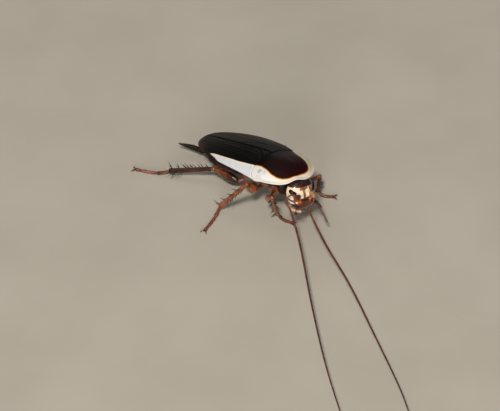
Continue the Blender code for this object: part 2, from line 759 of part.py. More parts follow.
def make_feeler(side_name, route, material, collection):
    path = curve_points(route, FEELER_SPACING)
    count = len(path)
    radii = []
    for index in range(count):
        run = index / (count - 1)
        thinning = smooth((run - FEELER_THIN_FROM) / (1.0 - FEELER_THIN_FROM))
        radius = FEELER_RADIUS - (FEELER_RADIUS - FEELER_TIP_RADIUS) * thinning
        if index < SCAPE_POINTS:
            radius = SCAPE_RADIUS
        radii.append(radius)
    first = int(count * FIRST_LENGTH_SHARE)
    cuts = [0] + [first + (count - 1 - first) * part // (FEELER_LENGTHS - 1)
                  for part in range(FEELER_LENGTHS)]
    for number, (start, end) in enumerate(zip(cuts, cuts[1:]), 1):
        piece = [point.copy() for point in path[start:end + 1]]
        if number > 1:
            piece[0] += (piece[1] - piece[0]).normalized() * GAP
        name = "antenna_%s_%d" % (side_name, number)
        tube(name, piece, radii[start:end + 1], material, collection)


# Legs

def joint_start(end, before, target, end_radius, radius):
    """Where the next limb piece starts, a gap past the end of the one before it."""
    along = (end - before).normalized()
    onward = (target - end).normalized()
    bend = math.acos(min(max(-along.dot(onward), -1.0), 1.0))
    if bend > math.pi / 2.0:
        offset = GAP + radius * math.sin(bend)
    else:
        offset = (radius + GAP + end_radius * math.cos(bend)) / math.sin(bend)
    return end + along * offset


def limb(name, start, end, profile, radius, sides, flatness, material, collection):
    """A straight limb piece whose radius follows (share of length, share of radius) stops."""
    path = [start.lerp(end, part) for part, _ in profile]
    radii = [radius * size for _, size in profile]
    hint = Vector((0.0, 0.0, 1.0))
    if abs((end - start).normalized().z) > STEEP:
        hint = Vector((1.0, 0.0, 0.0))
    bm = loft(sweep_rings(path, radii, sides, flatness, hint))
    return add_object(name, mesh_from(bm, name), material, collection)


COXA_PROFILE = ((0.0, 0.82), (0.12, 1.0), (0.45, 1.0), (0.75, 0.8), (0.93, 0.55), (1.0, 0.36))
FEMUR_PROFILE = ((0.0, 0.42), (0.07, 0.62), (0.22, 0.9), (0.42, 1.0), (0.68, 0.82), (0.88, 0.6),
                 (0.96, 0.62), (1.0, 0.45))
TIBIA_PROFILE = ((0.0, 0.72), (0.08, 0.85), (0.45, 0.9), (0.85, 1.0), (0.97, 1.08), (1.0, 0.8))


def make_coxa(name, pair, places, material, collection):
    """A broad flat plate under the chest, its top lying along the belly a gap away."""
    hip = Vector(places["hip"]) - Vector((0.0, 0.0, GAP))
    end = Vector(places["coxa_end"])
    away = math.copysign(1.0, hip.y)
    rings = []
    for part, size in COXA_PROFILE:
        centre = hip.lerp(end, part)
        ring = []
        for step in range(LIMB_SIDES):
            turn = math.tau * step / LIMB_SIDES
            x = COXA_HALF_LENGTH[pair] * size * math.cos(turn)
            y = COXA_HALF_WIDTH[pair] * size * math.sin(turn)
            ring.append(centre + Vector((x, y, COXA_TILT * (1.0 - part) * y * away)))
        rings.append(ring)
    bm = loft(body_rings(rings))
    add_object(name, mesh_from(bm, name), material, collection)


def spine_way(name, place, side, rise, row, draw, thigh_way, toe_way):
    """Which way a spine stands out of the shank, kept off the thigh and the foot."""
    turn = math.radians(row + draw.uniform(-SPINE_TURN_SPREAD, SPINE_TURN_SPREAD))
    out = side * math.cos(turn) + rise * math.sin(turn)
    crowd = toe_way if place > SPINE_NEAR_TOES else thigh_way
    crowded = place > SPINE_NEAR_TOES or place < SPINE_NEAR_THIGH
    if out.dot(crowd) > SPINE_CROWDED and crowded:
        out = -out
    if name in SPINES_TURNED_DOWN and out.z > 0.0:
        out = -out
    return out


def make_spines(name, start, end, thigh_way, toe_way, pair, seed):
    draw = random.Random(seed)
    along = (end - start).normalized()
    side = along.cross(Vector((0.0, 0.0, 1.0))).normalized()
    rise = side.cross(along)
    base_length, growth = SPINE_LENGTH_GROWTH
    pieces = []
    count = SPINE_COUNT[pair]
    for index in range(count):
        place = SPINE_FIRST + SPINE_RUN * index / (count - 1)
        row = SPINE_ROWS[index % len(SPINE_ROWS)]
        out = spine_way(name, place, side, rise, row, draw, thigh_way, toe_way)
        lean = SPINE_LEAN + draw.uniform(-SPINE_LEAN_SPREAD, SPINE_LEAN_SPREAD)
        length = SPINE_LENGTH[pair] * draw.uniform(*SPINE_LENGTH_SPREAD)
        length *= base_length + growth * place
        if place > SPINE_NEAR_TOES:
            lean += SPINE_END_LEAN
        aim = out * math.sin(math.radians(lean)) + along * math.cos(math.radians(lean))
        root = start.lerp(end, place)
        tip = root + out * TIBIA_RADIUS[pair] * 0.6 + aim * length
        tip.z = max(tip.z, SPINE_FLOOR)
        pieces.append(cone_object("spine_%d" % index, root, tip, SPINE_RADIUS, SPINE_TIP_RADIUS,
                                  SPINE_SIDES))
    return pieces


def make_tarsus(name, start, toes, material, collection):
    """Five short joints on the floor, two claws and a flat sole at z = 0."""
    stops = [start] + [Vector(toe) for toe in toes]
    line = curve_points(stops, TOE_SPACING)
    path = []
    radii = []
    last = len(line) - 1
    for low, high in TARSUS_JOINTS:
        for part, size in TARSUS_JOINT_SIZES:
            share = low + (high - low) * part
            path.append(line[min(int(round(share * last)), last)])
            radii.append(TARSUS_RADIUS * size)
    path.append(line[last])
    radii.append(TARSUS_RADIUS * 0.9)
    bm = loft(sweep_rings(path, radii, SHANK_SIDES))
    tarsus = add_object(name, mesh_from(bm, name), material, collection)
    along = (path[-1] - path[-4]).normalized()
    along.z = 0.0
    side = along.cross(Vector((0.0, 0.0, 1.0))).normalized()
    claws = []
    for turn in (1.0, -1.0):
        root = path[-1] - along * CLAW_ROOT_BACK + side * turn * CLAW_ROOT_SIDE
        reach = along * CLAW_REACH + side * turn * CLAW_SPREAD
        tip = path[-1] + reach * CLAW_LENGTH
        tip.z = CLAW_TIP_HEIGHT
        claws.append(cone_object("claw", root, tip, CLAW_RADIUS, CLAW_TIP_RADIUS, CLAW_SIDES))
    union(tarsus, claws)
    flatten_sole(tarsus)
    tarsus.data.materials.clear()
    tarsus.data.materials.append(material)


def flatten_sole(obj):
    bm = bmesh.new()
    bm.from_mesh(obj.data)
    everything = list(bm.verts) + list(bm.edges) + list(bm.faces)
    cut = bmesh.ops.bisect_plane(bm, geom=everything, dist=1e-7, plane_co=(0, 0, 0),
                                 plane_no=(0, 0, 1), clear_inner=True)
    rim = [item for item in cut["geom_cut"] if isinstance(item, bmesh.types.BMEdge)]
    bmesh.ops.edgenet_fill(bm, edges=rim)
    bmesh.ops.triangulate(bm, faces=[f for f in bm.faces if len(f.verts) > 4])
    bmesh.ops.recalc_face_normals(bm, faces=bm.faces)
    bm.to_mesh(obj.data)
    bm.free()


def make_leg(leg_name, places, materials, collection, seed):
    pair = leg_name.split("_")[0]
    prefix = "leg_" + leg_name
    knee = Vector(places["knee"])
    ankle = Vector(places["ankle"])
    toes = places["toes"]
    make_coxa(prefix + "_coxa", pair, places, materials["amber_leg"], collection)
    femur_start = level(places["femur_root"])
    limb(prefix + "_femur", femur_start, knee, FEMUR_PROFILE, FEMUR_RADIUS[pair], LIMB_SIDES,
         FEMUR_FLATNESS, materials["amber_leg"], collection)
    femur_tip = FEMUR_RADIUS[pair] * FEMUR_PROFILE[-2][1]
    tibia_radius = TIBIA_RADIUS[pair]
    tibia_start = joint_start(knee, femur_start, ankle, femur_tip,
                              tibia_radius * TIBIA_PROFILE[0][1])
    shank = limb(prefix + "_tibia", tibia_start, ankle, TIBIA_PROFILE, tibia_radius, SHANK_SIDES,
                 1.0, materials["brown_shank"], collection)
    toe_way = (Vector(toes[0]) - ankle).normalized()
    thigh_way = (femur_start - knee).normalized()
    union(shank, make_spines(leg_name, tibia_start, ankle, thigh_way, toe_way, pair, seed))
    shank.data.materials.clear()
    shank.data.materials.append(materials["brown_shank"])
    tarsus_start = joint_start(ankle, tibia_start, Vector(toes[0]), tibia_radius, TARSUS_RADIUS)
    make_tarsus(prefix + "_tarsus", tarsus_start, toes, materials["red_feeler"], collection)


def main():
    clear_scene()
    collection = make_collection("common_methana")
    materials = {name: make_material(name) for name in COLOURS}
    make_shield(materials["pale_border"], collection)
    for side in (1, -1):
        make_wing(side, materials["dark_cuticle"], collection)
    for side_name in CERCUS_PLACES:
        make_cercus(side_name, materials["brown_shank"], collection)
    make_thorax(materials["dark_cuticle"], collection)
    make_abdomen(materials["dark_cuticle"], collection)
    make_neck(materials["dark_cuticle"], collection)
    make_head(materials, collection)
    make_palp("maxillary_palp_right", PALP_RIGHT, PALP_RADIUS, materials["amber_leg"], collection)
    make_palp("maxillary_palp_left", PALP_LEFT, PALP_RADIUS, materials["amber_leg"], collection)
    for side, name in ((1, "labial_palp_left"), (-1, "labial_palp_right")):
        route = [(x, HEAD_CENTRE[1] + side * y, z) for x, y, z in LABIAL_PALP]
        make_palp(name, route, PALP_RADIUS, materials["amber_leg"], collection)
    for name, root, reach in (("right", FEELER_ROOT_RIGHT, FEELER_RIGHT),
                              ("left", FEELER_ROOT_LEFT, FEELER_LEFT)):
        route = [level(point) for point in root] + list(reach)
        make_feeler(name, route, materials["red_feeler"], collection)
    for number, (leg_name, places) in enumerate(LEG_PLACES.items()):
        make_leg(leg_name, places, materials, collection, 40 + number)


main()
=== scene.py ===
"""Looks of the common methana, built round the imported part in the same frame.

Body points are (forward, left, up) in millimetres from a spot between the wing bases; floor
points are (forward, left, up) on the level floor. Both are turned into the frame's metres.
"""

import math
import random

import bmesh
import bpy
import numpy as np
from mathutils import Matrix, Vector

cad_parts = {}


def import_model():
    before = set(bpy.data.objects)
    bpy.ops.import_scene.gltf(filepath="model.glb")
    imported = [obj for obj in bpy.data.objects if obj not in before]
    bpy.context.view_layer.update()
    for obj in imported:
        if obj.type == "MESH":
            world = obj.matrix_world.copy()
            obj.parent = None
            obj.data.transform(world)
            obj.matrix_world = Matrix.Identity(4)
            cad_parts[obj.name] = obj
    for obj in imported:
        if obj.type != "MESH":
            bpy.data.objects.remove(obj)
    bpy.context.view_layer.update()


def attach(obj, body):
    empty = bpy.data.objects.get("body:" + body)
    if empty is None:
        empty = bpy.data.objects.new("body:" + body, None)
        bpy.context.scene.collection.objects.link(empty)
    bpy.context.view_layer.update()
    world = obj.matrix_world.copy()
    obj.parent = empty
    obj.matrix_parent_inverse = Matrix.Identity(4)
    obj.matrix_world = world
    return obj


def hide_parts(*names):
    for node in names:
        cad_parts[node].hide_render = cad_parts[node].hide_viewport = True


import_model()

MM = 0.001
GAP = 0.3
FLOOR_CLEARANCE = 0.01

# How the body is held over the floor
PITCH = 14.0
LEAN = 9.0
RIDE_HEIGHT = 6.6
SHIFT_X = 7.54
SHIFT_Y = 19.67
BODY_TURN = np.array(Matrix.Rotation(-math.radians(PITCH), 3, "Y")
                     @ Matrix.Rotation(-math.radians(LEAN), 3, "X"))

# The photograph's view: its pixels for each millimetre forward, left and up on the body
VIEW_ACROSS = (3.88, 5.479, -0.463)
VIEW_DOWN = (2.244, -2.095, -5.988)
VIEW_ORIGIN = (262.59, 159.71)
VIEW_CENTRE = (250.0, 205.5)
PIXELS_PER_MM = 6.73
PHOTO_WIDTH = 500
CAMERA_DISTANCE = 0.6
SENSOR = 36.0


def turned(direction):
    """A body direction in floor coordinates."""
    return np.asarray(direction, float) @ BODY_TURN.T


def level(points):
    """Body points in floor coordinates."""
    return turned(points) + np.array([0.0, 0.0, RIDE_HEIGHT])


def world(points):
    """Floor points in the frame's metres, the animal facing -Y."""
    points = np.asarray(points, float)
    return np.stack((points[..., 1] + SHIFT_X, SHIFT_Y - points[..., 0], points[..., 2]), -1) * MM


def smooth(value):
    value = np.clip(value, 0.0, 1.0)
    return value * value * (3.0 - 2.0 * value)


def unit(vectors):
    return vectors / np.maximum(np.linalg.norm(vectors, axis=-1, keepdims=True), 1e-9)


def near_line(value, place, width):
    return np.exp(-((value - place) / width) ** 2)


def between(value, low, high, soft):
    return smooth((value - low) / soft + 0.5) * smooth((high - value) / soft + 0.5)


def shares(count):
    """Even steps from 0 to 1."""
    return np.linspace(0.0, 1.0, count)


def full_turn(count):
    """Even angles once round, the last one short of the first."""
    return np.linspace(0.0, math.tau, count, endpoint=False)


# Camera

def frame_direction(body_direction):
    forward, left, up = turned(body_direction)
    return Vector((left, -forward, up)).normalized()


def make_camera():
    right = frame_direction(VIEW_ACROSS)
    down = frame_direction(VIEW_DOWN)
    back = right.cross(-down)
    across, below = (np.array(VIEW_CENTRE) - VIEW_ORIGIN) / PIXELS_PER_MM * MM
    target = Vector(world(level((0.0, 0.0, 0.0)))) + right * across + down * below
    data = bpy.data.cameras.new("camera")
    data.sensor_width = SENSOR
    data.lens = PIXELS_PER_MM * CAMERA_DISTANCE / MM / PHOTO_WIDTH * SENSOR
    data.clip_start = 0.01
    data.clip_end = 10.0
    camera = bpy.data.objects.new("camera", data)
    bpy.context.scene.collection.objects.link(camera)
    turn = Matrix((right, -down, back)).transposed().to_4x4()
    camera.matrix_world = Matrix.Translation(target + back * CAMERA_DISTANCE) @ turn
    bpy.context.scene.camera = camera


make_camera()


# Building surfaces

# Hairs: shortest, longest, lean along the tube (of the face's hairs: down) and radius
CERCUS_HAIR = (0.12, 0.34, 0.7, 0.012)
PALP_HAIR = (0.06, 0.14, 1.1, 0.008)
FEELER_HAIR = (0.07, 0.16, 1.2, 0.008)
THIGH_HAIR = (0.084, 0.168, 1.4, 0.009)
SHANK_HAIR = (0.096, 0.192, 1.4, 0.009)
FACE_HAIR = (0.07, 0.17, 0.8, 0.006)


class Skin:
    """One object's surface, gathered part by part in floor millimetres."""

    def __init__(self):
        self.points = []
        self.faces = []
        self.marks = []
        self.count = 0

    def add(self, points, faces, marks):
        """Points with their faces, and marks that the materials read at each point."""
        points = np.asarray(points, float).reshape(-1, 3)
        self.faces += [(np.asarray(face) + self.count).tolist() for face in faces]
        self.points.append(points)
        self.marks.append({name: np.broadcast_to(np.asarray(value, float), (len(points),))
                           for name, value in marks.items()})
        self.count += len(points)

    def rings(self, rings, **marks):
        """A tube through rings of one count, closed at both ends."""
        rings = np.array(rings, float)
        rings[..., 2] = np.maximum(rings[..., 2], FLOOR_CLEARANCE)
        shape = rings.shape[:2]
        index = np.arange(shape[0] * shape[1]).reshape(shape)
        follow = np.roll(index, -1, axis=1)
        quads = np.stack((index[:-1], follow[:-1], follow[1:], index[1:]), -1).reshape(-1, 4)
        self.add(rings, [*quads, index[0, ::-1], index[-1]],
                 {name: self.spread(value, shape) for name, value in marks.items()})

    @staticmethod
    def spread(value, shape):
        """One value, or one for each row or point, as a flat list for all points."""
        value = np.asarray(value, float)
        if value.ndim == 1:
            value = value[:, None]
        return np.broadcast_to(value, shape).reshape(-1)

    def tube(self, path, radii, sides=16, flatness=1.0, hint=(0.0, 0.0, 1.0), **marks):
        """A tube along a path; its rings are given back."""
        rings = sweep(path, radii, sides, flatness, hint)
        self.rings(rings, **marks)
        return rings

    def plate(self, top, under, **marks):
        """A thin closed sheet from two grids of the same count."""
        size = top[..., 0].size
        index = np.arange(size).reshape(top.shape[:2])
        quads = np.stack((index[:-1, :-1], index[:-1, 1:], index[1:, 1:], index[1:, :-1]), -1)
        quads = quads.reshape(-1, 4)
        rim = np.concatenate((index[0], index[1:, -1], index[-1, -2::-1], index[-2:0:-1, 0]))
        follow = np.roll(rim, -1)
        faces = (*np.stack((quads, quads[:, ::-1] + size), 1).reshape(-1, 4),
                 *np.stack((follow, rim, rim + size, follow + size), -1))
        self.add((top, under), faces, {name: np.concatenate([value.reshape(-1)] * 2)
                                       for name, value in marks.items()})

    def bristles(self, roots, aims, length, radius, **marks):
        """Fine three-sided hairs from roots along aims."""
        aims = unit(aims)
        side = unit(np.cross(aims, (0.31, 0.52, 0.79)))
        rise = np.cross(side, aims)
        corners = []
        for angle in (0.0, math.tau / 3, math.tau * 2 / 3):
            corners.append(roots + (side * math.cos(angle) + rise * math.sin(angle)) * radius)
        corners.append(roots + aims * length[:, None])
        points = np.stack(corners, 1).reshape(-1, 3)
        points[:, 2] = np.maximum(points[:, 2], FLOOR_CLEARANCE)
        first = np.arange(0, len(points), 4)[:, None, None]
        faces = first + np.array(((0, 1, 3), (1, 2, 3), (2, 0, 3), (2, 1, 0)))
        self.add(points, faces.reshape(-1, 3), marks)

    def hairs(self, path, rings, draw, count, rows, kind, tone=0.8, follow=False):
        """Hairs on a tube between two of its rows, leaning along it or along its bends."""
        shortest, longest, lean, radius = kind
        picked = draw.integers(*rows, count)
        columns = draw.integers(0, rings.shape[1], count)
        roots = rings[picked, columns]
        onward = np.gradient(path, axis=0)[picked] if follow else path[-1] - path[0]
        aims = unit(roots - path[picked]) + unit(onward) * lean
        lengths = draw.uniform(shortest, longest, count)
        self.bristles(roots, aims, lengths, radius, tone=tone)

    def build(self, name, material, slot, *nodes):
        """The finished object, standing for the given nodes."""
        mesh = bpy.data.meshes.new(name)
        mesh.from_pydata(world(np.concatenate(self.points)).tolist(), [], self.faces)
        for mark in sorted(set().union(*self.marks)):
            values = [marks.get(mark, np.zeros(len(points)))
                      for points, marks in zip(self.points, self.marks)]
            attribute = mesh.attributes.new(mark, "FLOAT", "POINT")
            attribute.data.foreach_set("value", np.concatenate(values).astype(np.float32))
        outward = bmesh.new()
        outward.from_mesh(mesh)
        bmesh.ops.recalc_face_normals(outward, faces=outward.faces)
        outward.to_mesh(mesh)
        outward.free()
        mesh.shade_smooth()
        mesh.materials.append(material)
        piece = bpy.data.objects.new(name, mesh)
        bpy.context.scene.collection.objects.link(piece)
        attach(piece, "root")
        if nodes:
            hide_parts(*nodes)


def sweep(path, radii, sides=16, flatness=1.0, hint=(0.0, 0.0, 1.0)):
    """Rings square to a path of floor points; flatness scales the way across the hint."""
    along = unit(np.gradient(path, axis=0))
    side = unit(np.cross(along, hint))
    rise = np.cross(side, along)
    turn = full_turn(sides)[:, None]
    across = side[:, None] * (np.cos(turn) * flatness) + rise[:, None] * np.sin(turn)
    return path[:, None] + across * radii[:, None, None]


def soften(values, times):
    """Average along the rows so that a profile has no corners."""
    for _ in range(times):
        values[1:-1] = (values[:-2] + 2.0 * values[1:-1] + values[2:]) / 4.0
    return values


def profile(stops, places, softening=2):
    """Sizes at the given shares of a length, read from (share, size) stops and softened."""
    return soften(np.interp(places, *np.array(stops).T), softening)


def curve_points(points, spacing):
    """Evenly spaced points on a smooth curve through the given places."""
    knots = np.asarray(points, float)
    ends = np.vstack((knots[0] * 2.0 - knots[1], knots, knots[-1] * 2.0 - knots[-2]))
    t = np.linspace(0.0, 1.0, 24, endpoint=False)[:, None]
    fine = []
    for a, b, c, d in zip(ends, ends[1:], ends[2:], ends[3:]):
        fine.append(0.5 * (2.0 * b + (c - a) * t + (2.0 * a - 5.0 * b + 4.0 * c - d) * t * t
                           + (3.0 * b - 3.0 * c + d - a) * t ** 3))
    line = np.concatenate(fine + [knots[-1:]])
    travelled = distance_along(line)
    count = max(int(round(travelled[-1] / spacing)), 2) + 1
    places = np.linspace(0.0, travelled[-1], count)
    return np.stack([np.interp(places, travelled, axis) for axis in line.T], 1)


def distance_along(line):
    steps = np.linalg.norm(np.diff(line, axis=0), axis=1)
    return np.concatenate(([0.0], np.cumsum(steps)))


# Materials

class Shader:
    """A material and a short way to add and join its nodes."""

    def __init__(self, name, roughness=0.5, coat=0.0, coat_roughness=0.1, specular=0.5):
        self.material = bpy.data.materials.new(name)
        self.material.use_nodes = True
        self.tree = self.material.node_tree
        self.principled = self.tree.nodes["Principled BSDF"]
        for socket, value in (("Roughness", roughness), ("Coat Weight", coat),
                              ("Coat Roughness", coat_roughness),
                              ("Specular IOR Level", specular)):
            self.principled.inputs[socket].default_value = value
        self.place = self.node("ShaderNodeTexCoord").outputs["Object"]

    def node(self, kind, **settings):
        made = self.tree.nodes.new(kind)
        for name, value in settings.items():
            setattr(made, name, value)
        return made

    def feed(self, socket, value):
        """Join a socket to an output, or give it a plain value."""
        if isinstance(value, bpy.types.NodeSocket):
            self.tree.links.new(value, socket)
        elif isinstance(value, tuple) and socket.type == "RGBA":
            socket.default_value = (*value, 1.0)
        else:
            socket.default_value = value

    def made(self, kind, output, inputs, **settings):
        """The named output of a new node with its inputs fed."""
        node = self.node(kind, **settings)
        for socket, value in inputs.items():
            self.feed(node.inputs[socket], value)
        return node.outputs[output]

    def mark(self, name):
        return self.node("ShaderNodeAttribute", attribute_name=name).outputs["Fac"]

    def vector(self, x, y):
        return self.made("ShaderNodeCombineXYZ", "Vector", {"X": x, "Y": y})

    def noise(self, scale, detail=3.0, stretch=None, vector=None):
        vector = vector or self.place
        if stretch:
            vector = self.made("ShaderNodeMapping", "Vector", {"Vector": vector, "Scale": stretch})
        return self.made("ShaderNodeTexNoise", "Fac",
                         {"Scale": scale, "Detail": detail, "Vector": vector})

    def cells(self, scale):
        return self.made("ShaderNodeTexVoronoi", "Distance",
                         {"Scale": scale, "Vector": self.place})

    def math(self, operation, a, b):
        return self.made("ShaderNodeMath", "Value", {0: a, 1: b}, operation=operation)

    def times(self, a, b):
        return self.math("MULTIPLY", a, b)

    def plus(self, a, b):
        return self.math("ADD", a, b)

    def ramp(self, value, low, high, start=0.0, end=1.0):
        """Smooth change from start to end as value goes from low to high."""
        return self.made("ShaderNodeMapRange", "Result",
                         {"Value": value, "From Min": low, "From Max": high, "To Min": start,
                          "To Max": end}, interpolation_type="SMOOTHSTEP")

    def cloud(self, scale, detail, low, high, start=0.0, end=1.0):
        """Patches of noise, from start to end between two of its levels."""
        return self.ramp(self.noise(scale, detail), low, high, start, end)

    def wander(self, scale, detail, size):
        """Noise round 0, for edges that stray."""
        return self.times(self.math("SUBTRACT", self.noise(scale, detail), 0.5), size)

    def marked(self, name, low, high, start=0.0, end=1.0):
        return self.ramp(self.mark(name), low, high, start, end)

    def ragged(self, name, wander):
        """A mark with its edges carried in and out by a wandering value."""
        return self.ramp(self.plus(self.mark(name), wander), 0.3, 0.7)

    def mix(self, share, first, second):
        return self.made("ShaderNodeMix", 2, {0: share, 6: first, 7: second}, data_type="RGBA")

    def colour(self, output):
        self.feed(self.principled.inputs["Base Color"], output)

    def rough(self, output):
        self.feed(self.principled.inputs["Roughness"], output)

    def bump(self, height, depth, strength=1.0, **below):
        """Surface relief of the given depth in millimetres, over another one if given."""
        normal = self.made("ShaderNodeBump", "Normal", {
            "Strength": strength, "Distance": depth * MM, "Height": height, **below})
        self.feed(self.principled.inputs["Normal"], normal)
        return normal


BLACK = (0.0025, 0.0018, 0.0018)
SOOT = (0.005, 0.0036, 0.0032)
MAROON = (0.017, 0.003, 0.003)
MAROON_DARK = (0.011, 0.0045, 0.0045)
RIM_RED = (0.045, 0.01, 0.004)
WHITE = (0.74, 0.72, 0.69)
BAND_WHITE = (0.66, 0.66, 0.665)
BAND_DULL = (0.62, 0.6, 0.58)
BAND_SPECK = (0.42, 0.34, 0.33)
BAND_STREAK = (0.36, 0.32, 0.32)
GRIME = (0.2, 0.17, 0.17)
BORDER_MOTTLE = (0.6, 0.47, 0.36)
# Painted shade: beige for the border's far side, which is turned from the light
FAR_SHADE_BEIGE = (0.68, 0.57, 0.41)
# Painted shadow: a brown line where the shield's rear edge lies over the wings
JOIN_SHADOW_BROWN = (0.12, 0.055, 0.03)
CREAM = (0.82, 0.66, 0.42)
FRINGE = (0.42, 0.13, 0.025)
PALE_JOINT = (0.62, 0.42, 0.26)
FEELER_DARK = (0.06, 0.018, 0.01)
FEELER_PALE = (0.6, 0.34, 0.17)
# Pale and dark
LEG_AMBER = ((0.32, 0.085, 0.028), (0.028, 0.009, 0.005))
TRUNK_BROWN = ((0.07, 0.014, 0.005), (0.008, 0.0035, 0.003))
SPINE_RUST = ((0.14, 0.028, 0.007), (0.012, 0.005, 0.004))
PALP_TAN = ((0.66, 0.4, 0.27), (0.045, 0.011, 0.008))
LIP_ORANGE = ((0.3, 0.07, 0.018), (0.02, 0.005, 0.003))
# Two colours that a noise mixes
FACE_CREAM = ((0.9, 0.74, 0.54), (0.74, 0.52, 0.32))
FACE_TAN = ((0.2, 0.08, 0.03), (0.46, 0.23, 0.11))
FACE_RUST = ((0.2, 0.034, 0.007), (0.5, 0.13, 0.022))
FACE_CROWN = ((0.014, 0.005, 0.005), (0.06, 0.016, 0.012))
EYE_BLACK = ((0.0045, 0.003, 0.0035), (0.014, 0.0045, 0.003))
FEELER_RED = ((0.09, 0.026, 0.012), (0.15, 0.05, 0.024))
FLOOR_GREY = ((0.40, 0.355, 0.29), (0.44, 0.395, 0.325))


def wing_shader():
    """Dark leathery fore wing with fine length-wise veins and a white outer band."""
    shade = Shader("fore_wing", specular=0.08)
    flow = shade.vector(shade.mark("across"), shade.mark("along"))
    fine = shade.noise(9.0, 4.0, stretch=(6.0, 0.7, 1.0), vector=flow)
    dark = shade.mix(shade.ramp(fine, 0.35, 0.7), BLACK, SOOT)
    rim = shade.marked("rim", 0.1, 0.75, 1.0, 0.0)
    rear = shade.marked("rear", 0.0, 1.0)
    dark = shade.mix(shade.times(rim, rear), dark, RIM_RED)
    streak = shade.noise(14.0, 4.0, stretch=(7.0, 1.2, 1.0), vector=flow)
    white = shade.mix(shade.cloud(2600.0, 2.0, 0.62, 0.72, 0.0, 0.5), BAND_WHITE, BAND_SPECK)
    white = shade.mix(shade.ramp(streak, 0.54, 0.72, 0.0, 0.3), white, BAND_STREAK)
    white = shade.mix(shade.cloud(420.0, 3.0, 0.4, 0.75, 0.0, 0.25), white, BAND_DULL)
    cream = shade.mix(shade.marked("upper", 0.03, 0.16), CREAM, white)
    shade.colour(shade.mix(shade.marked("band", -0.05, 0.05), dark, cream))
    shade.rough(shade.ramp(fine, 0.2, 0.8, 0.32, 0.46))
    shade.bump(fine, 0.035, 0.8)
    return shade.material


def shield_shader():
    """Maroon-black disc with an orange fringe and a broad cream border."""
    shade = Shader("shield", specular=0.07)
    edge = shade.plus(shade.mark("disc"), shade.wander(900.0, 2.0, 0.14))
    patches = shade.noise(300.0, 4.0)
    dark = shade.mix(shade.ramp(patches, 0.35, 0.7), MAROON, MAROON_DARK)
    dark = shade.mix(shade.marked("behind", 0.0, 1.0), dark, BLACK)
    pale = shade.mix(shade.ramp(edge, 0.04, 0.42), CREAM, WHITE)
    pale = shade.mix(shade.marked("rim", 0.05, 0.3, 0.35, 0.0), pale, CREAM)
    grime = shade.cloud(1700.0, 3.0, 0.5, 0.6, 0.0, 0.8)
    pale = shade.mix(shade.times(grime, shade.mark("corner")), pale, GRIME)
    # Painted shadow: a brown line along the shield's rear edge, where it lies over the wings
    join_shadow = shade.marked("rim", 0.02, 0.14, 1.0, 0.0)
    pale = shade.mix(shade.times(join_shadow, shade.mark("behind")), pale, JOIN_SHADOW_BROWN)
    pale = shade.mix(shade.cloud(700.0, 3.0, 0.5, 0.8, 0.0, 0.16), pale, BORDER_MOTTLE)
    # Painted shade: the border's far side is mixed toward beige because that side is turned from
    # the light
    pale = shade.mix(shade.mark("far"), pale, FAR_SHADE_BEIGE)
    fringe = shade.mix(shade.ramp(edge, -0.02, 0.1), FRINGE, pale)
    shade.colour(shade.mix(shade.ramp(edge, -0.12, -0.02), dark, fringe))
    shade.rough(shade.ramp(patches, 0.2, 0.8, 0.28, 0.42))
    shade.bump(shade.cells(1900.0), 0.02, 0.5, Normal=shade.bump(patches, 0.05, 0.6))
    return shade.material


def cuticle_shader(name, colours, roughness, grain=1500.0, coat=0.25, specular=0.4, mottle=0.5):
    """Glossy body armour, from pale to dark by the mark named tone."""
    shade = Shader(name, coat=coat, coat_roughness=0.12, specular=specular)
    tone = shade.plus(shade.mark("tone"), shade.wander(750.0, 4.0, mottle))
    body = shade.mix(shade.ramp(tone, 0.0, 1.0), *colours)
    shade.colour(shade.mix(shade.mark("joint"), body, PALE_JOINT))
    grit = shade.noise(grain, 3.0)
    shade.rough(shade.ramp(grit, 0.25, 0.8, roughness - 0.06, roughness + 0.14))
    shade.bump(grit, 0.02, 0.7)
    return shade.material


def face_shader():
    """Cream and tan face under a dark crown, with a rust-brown mouth."""
    shade = Shader("face", coat=0.7, coat_roughness=0.06, specular=0.45)
    patches = shade.noise(900.0, 4.0)
    fine = shade.noise(2600.0, 3.0)
    wander = shade.wander(1300.0, 3.0, 1.3)
    tan = shade.mix(shade.cloud(1500.0, 4.0, 0.42, 0.62), *FACE_TAN)
    cream = shade.mix(shade.ramp(fine, 0.35, 0.75), *FACE_CREAM)
    base = shade.mix(shade.ragged("cream", wander), tan, cream)
    rust = shade.mix(shade.ramp(patches, 0.35, 0.65), *FACE_RUST)
    base = shade.mix(shade.ragged("rust", wander), base, rust)
    crown = shade.mix(shade.ramp(patches, 0.35, 0.7), *FACE_CROWN)
    shade.colour(shade.mix(shade.ragged("dark", shade.times(wander, 0.4)), base, crown))
    shade.rough(shade.ramp(fine, 0.2, 0.8, 0.2, 0.4))
    shade.bump(fine, 0.015, 0.6)
    return shade.material


def eye_shader():
    """Compound eye: fine cells under a wet gloss."""
    shade = Shader("compound_eye", roughness=0.3, coat=0.06, coat_roughness=0.05, specular=0.15)
    shade.colour(shade.mix(shade.cloud(1200.0, 2.0, 0.4, 0.7), *EYE_BLACK))
    shade.bump(shade.cells(9000.0), 0.02, 0.6)
    return shade.material


def feeler_shader():
    """Rust-brown ringed feeler, paler at its base and between rings."""
    shade = Shader("feeler", specular=0.3)
    patches = shade.noise(1100.0, 3.0)
    red = shade.mix(shade.ramp(patches, 0.3, 0.7), *FEELER_RED)
    red = shade.mix(shade.marked("tone", 0.0, 1.0), red, FEELER_DARK)
    shade.colour(shade.mix(shade.mark("pale"), red, FEELER_PALE))
    shade.rough(shade.ramp(patches, 0.2, 0.8, 0.24, 0.42))
    shade.bump(patches, 0.02, 0.6)
    return shade.material


def floor_shader():
    shade = Shader("pale_floor", roughness=0.9, specular=0.2)
    shade.colour(shade.mix(shade.cloud(60.0, 4.0, 0.2, 0.8), *FLOOR_GREY))
    return shade.material


